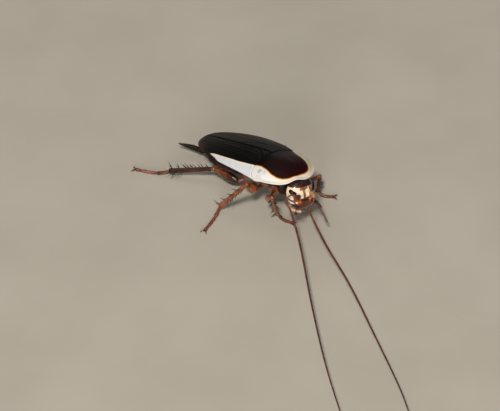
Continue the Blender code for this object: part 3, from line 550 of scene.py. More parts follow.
WING = wing_shader()
SHIELD = shield_shader()
LEG = cuticle_shader("leg_cuticle", LEG_AMBER, 0.26, mottle=1.1)
TRUNK = cuticle_shader("trunk_cuticle", TRUNK_BROWN, 0.42, grain=1100.0, coat=0.0, specular=0.18)
SPINE = cuticle_shader("spine_cuticle", SPINE_RUST, 0.3)
PALP = cuticle_shader("palp_cuticle", PALP_TAN, 0.34)
LIP = cuticle_shader("lip_cuticle", LIP_ORANGE, 0.25)
FACE = face_shader()
EYE = eye_shader()
FEELER = feeler_shader()


# Shield behind the head

SHIELD_FRONT = 9.69
SHIELD_WIDEST = 4.6
SHIELD_REAR = 3.0
SHIELD_HALF_WIDTH = 4.88
SHIELD_TOP = 2.12
SHIELD_FRONT_HEIGHT = 0.41
SHIELD_FRONT_POWER = 2.05
SHIELD_REAR_POWER = 3.0
SHIELD_DROP = 0.096
SHIELD_FALL = 2.6
SHIELD_FRONT_TAPER = 0.2
DOME_POWER = 0.65
MARGIN_LEVEL = 0.05
# Left and right
MARGIN_SLOPES = (0.07, 0.03)
MARGIN_SIDE_RISES = (0.3, 0.1)
MARGIN_PULL_POWER = 8
ARCH_HEIGHT = 0.5
ARCH_MIDDLE = -0.7
ARCH_WIDTH = 1.1
SHIELD_SPOKES = 200
SHIELD_SHEET = 0.22
# Rings of the upper side, then of the under side with their shares of the sheet's thickness
SHIELD_REACHES = (*np.linspace(0.02, 0.6, 14), *np.linspace(0.64, 0.96, 20),
                  0.975, 0.988, 0.996, 1.0, 0.996, 0.985, 0.95, 0.6, 0.02)
SHIELD_DEPTHS = (0.0,) * 38 + (0.45, 0.8, 1.0, 1.0, 1.0)
DISC_FRONT = 8.98
DISC_MIDDLE = 5.0
DISC_HALF_WIDTH = 3.1
DISC_POWERS = (3.2, 2.6)
DISC_STEPS = 240


def shield_rear(y):
    part = np.minimum(np.abs(y) / SHIELD_HALF_WIDTH, 1.0)
    reach = (1.0 - part ** SHIELD_REAR_POWER) ** (1.0 / SHIELD_REAR_POWER)
    return SHIELD_WIDEST - (SHIELD_WIDEST - SHIELD_REAR) * reach


def shield_outline(angle):
    """The shield's margin: angle 0 is the front."""
    front = np.cos(angle) > 0.0
    power = np.where(front, SHIELD_FRONT_POWER, SHIELD_REAR_POWER)
    depth = np.where(front, SHIELD_FRONT - SHIELD_WIDEST, SHIELD_WIDEST - SHIELD_REAR + 0.2)
    size = (np.abs(np.cos(angle)) ** power + np.abs(np.sin(angle)) ** power) ** (-1.0 / power)
    return depth * size * np.cos(angle), SHIELD_HALF_WIDTH * size * np.sin(angle)


def margin_height(y):
    """Height of the shield's front margin, arched up over the head."""
    slope = np.where(y > 0.0, *MARGIN_SLOPES)
    side_rise = np.where(y > 0.0, *MARGIN_SIDE_RISES)
    arch = ARCH_HEIGHT * near_line(y, ARCH_MIDDLE, ARCH_WIDTH)
    return MARGIN_LEVEL - slope * y + arch + side_rise * smooth((np.abs(y) - 2.9) / 1.6)


def shield_height(x, y):
    """Rear edge as high as the wings, falling forward and to the sides."""
    ahead = np.clip((x - SHIELD_REAR) / (SHIELD_FRONT - SHIELD_REAR), 0.0, 1.0)
    fall = ahead ** SHIELD_FALL
    ridge = SHIELD_TOP * (1.0 - fall) + SHIELD_FRONT_HEIGHT * fall
    span = SHIELD_HALF_WIDTH * (1.0 - ahead ** 4 * SHIELD_FRONT_TAPER)
    out = np.minimum(np.abs(y) / span, 1.0)
    edge = SHIELD_FRONT_HEIGHT * ahead ** 2 * near_line(y, 0.0, 2.2) - SHIELD_DROP * out ** 2
    height = edge + np.maximum(ridge - edge, 0.0) * (1.0 - out ** 2) ** DOME_POWER
    forward = np.maximum(x - SHIELD_WIDEST, 0.0) / (SHIELD_FRONT - SHIELD_WIDEST)
    reach = np.hypot(forward, y / SHIELD_HALF_WIDTH)
    pull = np.minimum(reach ** MARGIN_PULL_POWER * smooth((x - 5.2) / 1.6), 1.0)
    return height + (margin_height(y) - height) * pull


def disc_half_width(x):
    ahead = np.clip((x - DISC_MIDDLE) / (DISC_FRONT - DISC_MIDDLE), 0.0, 1.0)
    rounded = (1.0 - ahead ** DISC_POWERS[0]) ** (1.0 / DISC_POWERS[1])
    flare = 0.3 * smooth((4.4 - x) / 1.6) + 0.12 * smooth((x - 5.6) / 1.2)
    return DISC_HALF_WIDTH * rounded + flare


def disc_distance(x, y):
    """How far a point lies outside the dark disc, in millimetres; less than 0 inside."""
    places = np.linspace(SHIELD_REAR - 2.0, DISC_FRONT, DISC_STEPS)
    places = places[-1] - (places[-1] - places) ** 1.6 / (places[-1] - places[0]) ** 0.6
    across = np.abs(y[..., None])
    near = np.min(np.hypot(x[..., None] - places, across - disc_half_width(places)), axis=-1)
    inside = (np.abs(y) < disc_half_width(x)) & (x < DISC_FRONT)
    return np.where(inside, -near, near)


def make_shield():
    out_x, out_y = shield_outline(full_turn(SHIELD_SPOKES))
    reach = np.array(SHIELD_REACHES)[:, None]
    depth = np.array(SHIELD_DEPTHS)[:, None]
    upper = depth == 0.0
    x = SHIELD_WIDEST + out_x * reach
    y = out_y * reach
    disc = np.where(upper, disc_distance(x, y), 1.0)
    lip = 0.07 * near_line(reach, 0.985, 0.02)
    trough = 0.05 * near_line(reach, 0.92, 0.05)
    step = 0.05 * near_line(disc, 0.25, 0.3)
    dimple = 0.06 * near_line(x, 5.6, 1.3) * near_line(np.abs(y), 1.35, 0.5)
    rise = (lip - trough - step) * smooth((x - SHIELD_REAR - 0.4) / 1.0) - dimple
    height = shield_height(x, y) + rise * upper - SHIELD_SHEET * depth
    skin = Skin()
    # The mark far tells the shader where to paint shade on the border's far side
    skin.rings(level(np.stack((x, y, height), -1)), disc=disc, rim=(1.0 - reach) * 4.0 * upper,
               behind=smooth((SHIELD_WIDEST - x) / 1.6), far=smooth((y - 1.0) / 3.0),
               corner=near_line(x, 4.8, 0.75) * near_line(np.abs(y), 3.75, 0.5))
    skin.build("shield", SHIELD, "pale_border", "pronotum")


make_shield()


# Fore wings

WING_HALF_WIDTH = 4.88
WING_TIP = 15.5
WING_DOME = 2.16
WING_DROOP = 1.85
WING_END = 0.985
WING_ROWS = 230
WING_COLUMNS = 110
WING_SHEET = 0.12
WING_LAP = 1.5
WING_TUCK = 0.7
EDGE_TURN = 62.0
MAIN_VEINS = (0.319, 0.5, 0.672, 0.838)
FINE_VEINS = 19
GROOVE_END = 0.42


def wing_half_width(x):
    part = np.clip(-x / WING_TIP, 0.0, 1.0)
    return WING_HALF_WIDTH * (1.0 - part ** 2.5) ** 0.55


def wing_seam(x):
    """Where the left wing's inner edge lies, as a share of the half width."""
    return -0.2 * smooth((3.0 - x) / 9.0)


def wing_height(x, v):
    part = np.clip((2.0 - x) / (WING_TIP + 2.0), 0.0, 1.0)
    narrow = np.minimum(wing_half_width(x) / 2.4, 1.0)
    dome = WING_DOME * (1.0 - 0.7 * part ** 2) * narrow
    return dome * np.maximum(1.0 - v * v, 0.0) ** DOME_POWER - WING_DROOP * part ** 1.6


def band_edge(x):
    """Upper edge of the white band, as a share of the half width."""
    behind = np.maximum(-1.5 - x, 0.0)
    before = np.clip((x + 1.5) / 4.2, 0.0, 1.2)
    return 0.84 + 0.0135 * behind - 0.11 * before ** 1.6 + 0.1 * smooth((-x - 6.4) / 3.5)


def band_outer(x):
    """Lower edge of the white band, drawing in from the margin toward its point."""
    return 1.03 - 0.075 * smooth((-x - 2.6) / 5.4)


def vein_relief(along, out):
    """Main veins, fine branches between them and the curved groove of the inner field."""
    rise = np.zeros_like(along)
    for vein in MAIN_VEINS:
        rise += 0.032 * near_line(out, vein, 0.014)
    for number in range(FINE_VEINS):
        start = 0.1 + 0.8 * number / FINE_VEINS
        place = start + 0.05 * np.sin(number * 2.4) * along + 0.02 * np.sin(along * 9.0 + number)
        rise += 0.012 * near_line(out, place, 0.009)
    groove = 0.46 * (1.0 - smooth(along / GROOVE_END)) ** 0.6
    rise -= 0.045 * near_line(out, groove, 0.022) * (along < GROOVE_END)
    return rise * smooth(along / 0.06) * (1.0 - smooth((along - 0.8) / 0.2))


def make_wing(side, side_name):
    """The left wing laps over the right one, and both slip in under the shield."""
    out, along = np.meshgrid(shares(WING_COLUMNS) ** 0.85, 1.0 - (1.0 - shares(WING_ROWS)) ** 1.35)
    start = np.minimum(shield_rear(out * WING_HALF_WIDTH), SHIELD_REAR + 0.5) + WING_TUCK
    x = start + (-WING_TIP * WING_END - start) * along
    half_width = wing_half_width(x)
    seam = wing_seam(x) * side
    lap = WING_LAP * (1.0 - smooth((-x - 11.0) / 4.0)) * smooth((3.6 - x) / 3.0)
    inner = seam - (lap if side < 0 else 0.06) / half_width
    v = inner + (1.0 - inner) * out
    from_seam = (v - seam) * half_width
    tucked = smooth((x - shield_rear(v * half_width) + 0.35) / 0.4)
    height = wing_height(x, v) + vein_relief(along, out) - 0.3 * tucked
    if side > 0:
        height += 0.04 * near_line(from_seam, 0.0, 0.7)
    else:
        height -= 0.1 * (1.0 - smooth((from_seam + 0.1) / 0.5))
    band = (v - band_edge(x)) * half_width
    height += 0.05 * near_line(band, 0.0, 0.09) * (1.0 - tucked) - 0.03 * smooth(band / 0.3)
    top = np.stack((x, side * v * half_width, height), -1)
    turn = math.radians(EDGE_TURN) * np.clip(v, 0.0, 1.0) ** 4 * np.minimum(half_width / 2.6, 1.0)
    under = top - WING_SHEET * np.stack((0.0 * x, side * np.sin(turn), np.cos(turn)), -1)
    skin = Skin()
    skin.plate(level(top), level(under), along=along * 4.0, across=out, upper=band,
               band=np.minimum(band, (band_outer(x) - v) * half_width),
               rim=np.minimum((1.0 - v) * half_width, (x + WING_TIP * WING_END) * 0.8),
               rear=smooth((-x - 8.5) / 4.0))
    skin.build("fore_wing_" + side_name, WING, "dark_cuticle", "tegmen_" + side_name)


make_wing(1, "left")
make_wing(-1, "right")


# Trunk under the wings

THORAX_FRONT = 7.6
THORAX_REAR = -1.75
ABDOMEN_FRONT = -1.8
ABDOMEN_REAR = -13.3
ABDOMEN_SEGMENTS = 8
THORAX_PLATE = 2.45
TRUNK_SIDES = 96
THORAX_ROWS = 94
ABDOMEN_ROWS = 240
THORAX_STOPS = ((-1.8, 3.6), (-1.2, 3.5), (0.2, 3.4), (2.0, 3.1), (4.2, 2.8), (5.4, 2.5),
                (5.9, 2.05), (6.3, 2.15), (6.75, 2.3), (7.15, 2.15), (7.4, 1.85), (7.6, 1.5))


def thorax(x, across):
    """Half width, top, edge, bottom and tone of the rings from the neck to the abdomen."""
    nose = smooth((x - 4.0) / 3.0)
    plates = 0.5 + 0.5 * np.cos(math.tau * (x - 0.4) / THORAX_PLATE)
    width = np.interp(x, *np.array(THORAX_STOPS).T) * (1.0 - 0.06 * plates ** 3)
    throat = 0.85 * smooth((x - 6.1) / 0.6) * (1.0 - 0.6 * smooth((x - 7.1) / 0.5))
    bottom = -2.35 + 0.1 * nose - throat + 0.16 * plates ** 4
    tone = 0.75 + 0.25 * plates - 0.2 * smooth((x - 5.8) / 0.6) + 0.0 * across
    return width, 0.7 - 0.9 * nose, -1.0 - 0.3 * nose, bottom, tone


def abdomen(x, across):
    """The same for the abdomen, each segment swelling toward its rear edge."""
    back = (ABDOMEN_FRONT - x) / (ABDOMEN_FRONT - ABDOMEN_REAR)
    part = (ABDOMEN_FRONT - x) / ((ABDOMEN_FRONT - ABDOMEN_REAR) / ABDOMEN_SEGMENTS) % 1.0
    edge = -0.8 - WING_DROOP * ((2.0 - x) / (WING_TIP + 2.0)) ** 1.6
    top = edge + 1.55 * (1.0 - 0.8 * back ** 1.6)
    swell = 0.955 + 0.065 * part ** 0.5 - 0.05 * smooth((part - 0.93) / 0.07)
    deep = 0.72 + 0.28 * smooth((ABDOMEN_FRONT - x) / 5.0)
    bottom = edge - 1.85 * deep * (1.0 - 0.6 * back ** 3) * swell
    close = np.maximum(1.0 - np.clip(back, 0.0, 1.0) ** 7, 0.0) ** 0.5
    width = np.maximum((wing_half_width(x) - 0.45) * close, 0.45) * swell
    width += 0.12 * part ** 3 * (back < 0.9)
    tone = 0.95 - 0.5 * smooth((part - 0.8) / 0.15) * (1.0 - smooth((part - 0.96) / 0.04))
    return width, top, edge, bottom, tone - 0.25 * near_line(np.abs(across), 0.97, 0.05)


def make_trunk():
    turn = full_turn(TRUNK_SIDES)
    rise = np.sin(turn)
    across = np.sign(np.cos(turn)) * np.abs(np.cos(turn)) ** 0.8
    sections = []
    for section, places in (
            (thorax, np.linspace(THORAX_FRONT, THORAX_REAR, THORAX_ROWS)),
            (abdomen, np.linspace(ABDOMEN_FRONT, ABDOMEN_REAR, ABDOMEN_ROWS))):
        sections.append((places[:, None], *section(places[:, None], across)))
    x, width, top, edge, bottom, tone = (np.concatenate(both) for both in zip(*sections))
    height = edge + np.where(rise > 0.0, top - edge, edge - bottom) * rise
    skin = Skin()
    skin.rings(level(np.stack(np.broadcast_arrays(x, width * across, height), -1)), tone=tone)
    skin.build("trunk", TRUNK, "dark_cuticle", "thorax", "abdomen", "neck")


make_trunk()


# Tail feelers

CERCUS_PLACES = {
    "right": ((-12.95, -2.5, -2.35), (-16.1, -4.35, -1.6)),
    "left": ((-12.9, 2.35, -2.62), (-15.6, 3.0, -2.25)),
}
CERCUS_RADIUS = 0.4
CERCUS_RINGS = 11
CERCUS_SIDES = 20
CERCUS_HAIRS = 220
CERCUS_SEED = 11


def make_cercus(side_name):
    root, tip = (np.array(place) for place in CERCUS_PLACES[side_name])
    back = root - (tip - root) * 0.16
    share = shares(CERCUS_RINGS * 8 + 1)
    bow = np.array([0.0, -math.copysign(0.35, root[1]), -0.08]) * np.sin(math.pi * share)[:, None]
    path = level(back + (tip - back) * share[:, None] + bow)
    swell = CERCUS_RADIUS * np.sin(math.pi * np.minimum(0.2 + 0.8 * share, 1.0)) ** 0.7
    pinch = 0.84 + 0.18 * np.sin(math.pi * (share * CERCUS_RINGS % 1.0)) ** 0.5
    skin = Skin()
    rings = skin.tube(path, np.maximum(swell * pinch, 0.05), CERCUS_SIDES,
                      hint=turned((0.0, 0.0, 1.0)), tone=1.1 - 0.55 * smooth((share - 0.55) / 0.45))
    skin.hairs(path, rings, np.random.default_rng(CERCUS_SEED), CERCUS_HAIRS,
               (8, len(share) - 2), CERCUS_HAIR, tone=0.9)
    skin.build("tail_cercus_" + side_name, TRUNK, "brown_shank", "cercus_" + side_name)


make_cercus("right")
make_cercus("left")


# Head

HEAD_CENTRE = (8.95, 0.2)
HEAD_TOP = -0.3
HEAD_BOTTOM = -4.6
HEAD_HALF_WIDTH = 2.3
HEAD_FRONT_DEPTH = 1.45
HEAD_BACK_DEPTH = 1.25
# Part of the height from the crown down, with the shares of the width and the depth there
HEAD_STOPS = (
    (-0.07, 0.1, 0.11), (-0.055, 0.4, 0.42), (-0.02, 0.6, 0.62), (0.03, 0.75, 0.76),
    (0.1, 0.86, 0.88), (0.2, 0.95, 0.96), (0.3, 1.0, 1.0), (0.45, 0.98, 1.05), (0.58, 0.94, 1.04),
    (0.68, 0.86, 1.0), (0.72, 0.79, 0.92), (0.82, 0.65, 0.82), (0.93, 0.5, 0.68),
    (1.0, 0.34, 0.45))
CROWN_PART = -0.07
HEAD_GRID = 180
FACE_MIDDLE = -4.0
EYE_CENTRE = (9.67, 1.71, -1.47)
EYE_HALF_SIZE = (0.42, 0.76, 0.42)
EYE_TURN = 50.0
EYE_TILT = 40.0
EYE_ROWS = 48
EYE_SIDES = 72
SOCKET_TURN = 26.0
SOCKET_PART = 0.4
SOCKET_RADIUS = 0.4
HEAD_SOFTENING = 90
HEAD_HAIRS = 420
HEAD_HAIR_ROWS = (60, 168)
HEAD_HAIR_COLUMNS = (36, 144)
HEAD_SEED = 17

# Marks on the head: strength, part of the height and degrees from the face's middle line. A
# range is (low, high, softness) or (place, width), and a bent line (place, width, slope, reach).
# The last value, where there is one, is 1 for the left half alone and -1 for the right.
ALL_ROUND = (-9.0, 200.0, 8.0)
FACE_RELIEF = (
    (-0.05, (0.2, 0.5, 0.08), (0.0, 2.2)),
    (0.06, (0.2, 0.46, 0.1), (11.0, 6.0)),
    (-0.1, (0.617, 0.012, -0.0006, 70.0), (-9.0, 69.0, 1.0)),
    (0.1, (0.6, 0.69, 0.03), (-1.0, 34.0, 12.0)),
    (-0.1, (0.5, 0.85, 0.08), (46.0, 4.0)),
    (0.14, (0.62, 0.84, 0.08), (66.0, 16.0)),
    (-0.09, (0.86, 0.014), (-9.0, 109.0, 1.0)),
    (-0.05, (0.1, 0.7, 0.1), (98.0, 4.0)))
FACE_SHADE = (
    (0.8, (0.24, 0.5, 0.06), (0.0, 1.8)),
    (1.0, (0.5, 0.045, 0.0042, 78.0), (46.0, 100.0, 10.0)),
    (1.0, (0.7, 0.045, 0.0032, 76.0), (22.0, 100.0, 10.0)),
    (1.0, (-1.0, 2.0, 0.05), (102.0, 200.0, 8.0)),
    (0.62, (0.5, 0.84, 0.05), (-9.0, 19.0, 8.0)),
    (0.9, (0.69, 0.03), (20.0, 8.0)),
    (1.0, (0.885, 2.0, 0.05), ALL_ROUND))
FACE_SPOTS = (
    (0.9, (0.635, 0.035), (40.0, 9.0)),
    (0.9, (0.59, 0.04), (20.0, 6.0), 1),
    (0.9, (0.55, 0.68, 0.04), (52.0, 96.0, 8.0), -1))
MOUTH_RUST = (
    (1.0, (0.49, 0.86, 0.05), (-9.0, 34.0, 8.0)),
    (0.85, (0.38, 0.6, 0.06), (26.0, 50.0, 8.0), -1))


def head_surface(part, turn):
    """A point of the head: part 0 is the crown, 1 the mouth; turn 0 faces forward."""
    places, wide, deep = np.array(HEAD_STOPS).T
    across = np.sin(turn)
    ahead = np.cos(turn)
    depth = np.where(ahead > 0.0, HEAD_FRONT_DEPTH, HEAD_BACK_DEPTH)
    depth = depth * np.interp(part, places, deep) * np.sign(ahead)
    width = HEAD_HALF_WIDTH * np.interp(part, places, wide) * np.sign(across)
    x = HEAD_CENTRE[0] + depth * np.abs(ahead) ** 0.85
    y = HEAD_CENTRE[1] + width * np.abs(across) ** 0.9
    return np.stack(np.broadcast_arrays(x, y, part_height(part)), -1)


def part_height(part):
    return HEAD_TOP + (HEAD_BOTTOM - HEAD_TOP) * part


def eye_turn(side):
    return np.array(Matrix.Rotation(math.radians(EYE_TURN) * side, 3, "Z")
                    @ Matrix.Rotation(math.radians(EYE_TILT) * side, 3, "X"))


def eye_middle(side):
    return np.array((EYE_CENTRE[0], HEAD_CENTRE[1] + side * EYE_CENTRE[1], EYE_CENTRE[2]))


def socket_place(side):
    return head_surface(SOCKET_PART, math.radians(FACE_MIDDLE + side * SOCKET_TURN))


def in_range(value, limits, aside):
    """How far a value lies in a table's range, 0 to 1."""
    if len(limits) == 3:
        return between(value, *limits)
    place, width, slope, reach = (*limits, 0.0, 0.0)[:4]
    return near_line(value, place + slope * np.maximum(reach - aside, 0.0), width)


def head_marks(table, part, degrees):
    """One grid for each row of a table of marks."""
    aside = np.abs(degrees)
    grids = []
    for strength, parts, turns, *half in table:
        grid = strength * in_range(part, parts, aside) * in_range(aside, turns, aside)
        grids.append(grid * (degrees * half[0] > 0.0) if half else grid)
    return grids


def eyes_and_sockets(points):
    """Relief round eyes and feeler sockets, nearness to an eye and distance to a socket."""
    rise = 0.0
    eye_near = 0.0
    socket_near = np.inf
    for side in (1, -1):
        local = (points - eye_middle(side)) @ eye_turn(side)
        shell = np.linalg.norm(local / EYE_HALF_SIZE, axis=-1)
        distance = np.linalg.norm(points - socket_place(side), axis=-1)
        rise -= 0.25 * (1.0 - smooth((shell - 0.75) / 0.35))
        rise -= 0.16 * (1.0 - smooth((distance - 0.12) / 0.22))
        rise += 0.1 * near_line(distance, SOCKET_RADIUS, 0.09)
        eye_near = np.maximum(eye_near, near_line(shell, 1.12, 0.14))
        socket_near = np.minimum(socket_near, distance)
    return rise, eye_near, socket_near


def face_marks(part, degrees, eye_near, socket_near):
    """Where the head is dark, cream and rust, 0 to 1."""
    aside = np.abs(degrees)
    crown = between(part - 0.045 * np.sin(np.radians(degrees)), -1.0, 0.112, 0.035)
    # The ring round each feeler socket is partly the socket's own dark rim and partly painted shade
    # in its hollow
    dark = np.max([crown, 0.35 * eye_near, 0.9 * near_line(socket_near, 0.3, 0.12),
                   *head_marks(FACE_SHADE, part, degrees)], axis=0)
    cheek = between(aside, 17.0, 100.0, 8.0) * between(part, 0.08, 0.5, 0.06)
    wedge = between(aside, 4.0 + 40.0 * np.maximum(0.26 - part, 0.0), 18.0, 4.0)
    cream = np.maximum(cheek, wedge * between(part, 0.2, 0.52, 0.05))
    # Painted shade: cream fades out on the left cheek, which is turned from the light, so that side
    # stays tan
    cream *= 1.0 - 0.75 * smooth((degrees - 16.0) / 8.0)
    cream *= 1.0 - 0.25 * between(aside, 20.0, 46.0, 8.0) * smooth((part - 0.2) / 0.1)
    cream = np.max([cream, *head_marks(FACE_SPOTS, part, degrees)], axis=0)
    rust = np.max([1.0 - smooth((socket_near - 0.05) / 0.22),
                   *head_marks(MOUTH_RUST, part, degrees)], axis=0)
    rust = np.minimum(rust, 1.0 - 0.8 * (cream > 0.6) * (part > 0.56))
    return {"dark": dark, "cream": cream, "rust": rust}


def make_head():
    turn, part = np.meshgrid(np.linspace(-math.pi, math.pi, HEAD_GRID, endpoint=False),
                             shares(HEAD_GRID) ** 1.5)
    part = CROWN_PART + (1.0 - CROWN_PART) * part
    points = soften(head_surface(part, turn), HEAD_SOFTENING)
    away = unit(np.stack((np.cos(turn), np.sin(turn), 0.25 - 0.6 * part), -1))
    degrees = np.degrees(turn) - FACE_MIDDLE
    rise, eye_near, socket_near = eyes_and_sockets(points)
    rise += sum(head_marks(FACE_RELIEF, part, degrees))
    points = points + away * rise[..., None]
    skin = Skin()
    skin.rings(level(points), **face_marks(part, degrees, eye_near, socket_near))
    skin.build("head_skin", FACE, "cream_face", "head")
    make_face_hairs(points, away)


def make_face_hairs(points, away):
    shortest, longest, lean, radius = FACE_HAIR
    draw = np.random.default_rng(HEAD_SEED)
    picked = tuple(draw.integers(*ends, HEAD_HAIRS) for ends in (HEAD_HAIR_ROWS, HEAD_HAIR_COLUMNS))
    hairs = Skin()
    hairs.bristles(level(points[picked]), turned(away[picked]) - np.array((0.0, 0.0, lean)),
                   draw.uniform(shortest, longest, HEAD_HAIRS), radius, tone=0.6)
    hairs.build("face_hairs", SPINE, "cream_face")


def make_eye(side, name):
    """A kidney-shaped eye, notched where it passes the feeler's socket."""
    lon, lat = np.meshgrid(full_turn(EYE_SIDES), np.linspace(0.02, math.pi - 0.02, EYE_ROWS))
    ball = np.stack((np.sin(lat) * np.cos(lon), np.sin(lat) * np.sin(lon), np.cos(lat)), -1)
    local = ball * EYE_HALF_SIZE
    to_socket = (socket_place(side) - eye_middle(side)) @ eye_turn(side)
    distance = np.linalg.norm(local - to_socket, axis=-1)
    local *= 1.0 - 0.25 * near_line(distance, 0.0, 0.55)[..., None]
    skin = Skin()
    skin.rings(level(local @ eye_turn(side).T + eye_middle(side)))
    skin.build("compound_" + name, EYE, "eye_black", name)


make_head()
make_eye(1, "eye_left")
make_eye(-1, "eye_right")


# Mouth plates under the face

LIP_ROWS = 26
LIP_COLUMNS = 40
JAW_ROWS = 30
JAW_STOPS = ((0.0, 0.2), (0.2, 0.42), (0.6, 0.36), (0.9, 0.2), (1.0, 0.04))


def make_labrum():
    """The upper lip, a rounded flap below the face."""
    columns, rows = np.meshgrid(np.linspace(-1.0, 1.0, LIP_COLUMNS), shares(LIP_ROWS))
    turn = np.radians(FACE_MIDDLE + 30.0 * (1.0 - 0.45 * rows ** 3) * columns)
    surface = head_surface(0.68, turn)
    surface[..., 2] = part_height(0.675 + 0.17 * rows - 0.02 * rows * columns ** 2)
    bulge = 0.1 + 0.07 * np.sin(math.pi * rows) * (1.0 - columns ** 2) - 0.14 * rows ** 2
    out = np.stack((np.cos(turn), np.sin(turn), 0.0 * turn), -1)
    tone = 0.62 - 0.45 * smooth((columns - 0.45) / 0.3) + 0.4 * near_line(rows, 1.0, 0.3)
    skin = Skin()
    skin.plate(level(surface + out * bulge[..., None]), level(surface - out * 0.08), tone=tone)
    skin.build("upper_lip", LIP, "cream_face")


def make_jaw(side, name):
    """A mandible beside the lip, its narrow end under the lip's edge."""
    share = shares(JAW_ROWS)
    turn = np.radians(FACE_MIDDLE + side * (62.0 - 40.0 * share ** 1.4))
    path = head_surface(0.64 + 0.25 * share ** 0.8, turn) - np.array((0.12, 0.0, 0.0))
    skin = Skin()
    skin.tube(level(path), profile(JAW_STOPS, share), 18, 0.8, tone=1.1)
    skin.build(name, PALP, "cream_face")


make_labrum()
make_jaw(1, "jaw_left")
make_jaw(-1, "jaw_right")


# Mouth feelers

PALP_RADIUS = 0.2392
PALP_ROOT = (*HEAD_CENTRE, -4.0)
PALP_RIGHT = ((8.25, -1.7, -4.0), (9.0, -1.85, -4.1), (9.8, -1.35, -4.4), (10.45, -0.75, -4.5))
PALP_LEFT = ((9.0, 2.1, -4.0), (10.3, 2.4, -4.25), (10.8, 2.4, -4.9), (12.0, 2.6, -6.8))
LABIAL_PALP = ((8.5, 0.45, -4.95), (8.4, 0.65, -5.35), (8.6, 0.75, -5.8))
PALP_STOPS = ((0.0, 0.5), (0.06, 0.72), (0.3, 0.84), (0.75, 1.06), (0.95, 0.96), (1.0, 0.6))
PALP_ROWS = 22
PALP_HAIRS = 46


def make_palp(name, points, tones, seed, girths=(1.0, 1.0, 1.0, 1.0)):
    points = np.array(points, float)
    knots = np.vstack((points[0] + (np.array(PALP_ROOT) - points[0]) * 0.45, points))
    share = shares(PALP_ROWS)
    draw = np.random.default_rng(seed)
    skin = Skin()
    for start, end, tone, girth in zip(knots, knots[1:], tones, girths):
        path = level(start + (end - start) * share[:, None])
        shade = tone + 0.35 * near_line(share, 0.02, 0.1) + 0.2 * near_line(share, 1.0, 0.1)
        rings = skin.tube(path, PALP_RADIUS * girth * profile(PALP_STOPS, share, 1), 18,
                          hint=(0.31, 0.52, 0.8), tone=shade)
        skin.hairs(path, rings, draw, PALP_HAIRS, (4, PALP_ROWS - 2), PALP_HAIR)
    skin.build("mouth_" + name, PALP, "amber_leg", name)


def labial_route(side):
    return [(x, HEAD_CENTRE[1] + side * y, z) for x, y, z in LABIAL_PALP]


make_palp("maxillary_palp_right", PALP_RIGHT, (0.3, 0.15, 0.1, 0.35), 5)
make_palp("maxillary_palp_left", PALP_LEFT, (0.8, 0.95, 1.0, 0.75), 6, (1.0, 1.1, 1.15, 0.62))
make_palp("labial_palp_left", labial_route(1), (0.8, 0.7, 0.75), 7)
make_palp("labial_palp_right", labial_route(-1), (0.7, 0.75, 0.7), 8)


# Feelers: from socket and root on the body to places over the floor

FEELER_ROOT_RIGHT = ((10.75, -1.35, -1.85), (10.35, -2.35, -1.25), (10.05, -3.15, -2.1),
                     (10.85, -3.05, -3.15))
FEELER_ROOT_LEFT = ((10.9, 1.2, -2.15), (11.4, 0.85, -3.0), (11.4, 0.0, -4.0))
FEELER_RIGHT = (
    (12.0, -3.3, 3.6), (16.4, -5.6, 3.1), (25.9, -11.1, 2.6), (36.35, -16.8, 2.4),
    (46.85, -21.8, 2.3), (51.0, -23.6, 2.3))
FEELER_LEFT = (
    (12.9, -0.55, 3.7), (17.9, -2.1, 3.2), (26.1, -4.3, 2.8), (36.0, -7.7, 2.5),
    (46.7, -11.6, 2.4), (53.0, -14.5, 2.3), (56.5, -16.4, 2.3))
FEELER_RADIUS = 0.18
FEELER_TIP_RADIUS = 0.07
FEELER_SIDES = 12
FEELER_SPACING = 0.05
FEELER_HAIRS = 1500
FEELER_SEED = 21
SCAPE_RADIUS = {"right": 0.24, "left": 0.36}
SCAPE_LENGTH = 1.3
PEDICEL_RADIUS = 0.2
PEDICEL_LENGTH = 0.5
FEELER_BASE = SCAPE_LENGTH + PEDICEL_LENGTH
SCAPE_STOPS = ((0.0, 0.7), (0.15, 0.95), (0.6, 1.05), (0.93, 0.95), (1.0, 0.62))
PEDICEL_STOPS = ((0.0, 0.75), (0.3, 1.0), (0.8, 1.05), (1.0, 0.75))
RING_STOPS = ((0.0, 0.84), (0.25, 0.95), (0.85, 1.04), (1.0, 0.9))
FIRST_RING = 0.2
RING_GROWTH = 0.0035


def feeler_rings(travelled):
    """Number of the ring at each distance along a feeler, and the share of its length."""
    edges = [FEELER_BASE]
    while edges[-1] < travelled[-1]:
        edges.append(edges[-1] + FIRST_RING + RING_GROWTH * len(edges))
    edges = np.array(edges)
    ring = np.maximum(np.searchsorted(edges, travelled, side="right") - 1, 0)
    low = edges[ring]
    high = edges[np.minimum(ring + 1, len(edges) - 1)]
    return ring, (travelled - low) / np.maximum(high - low, 1e-6)


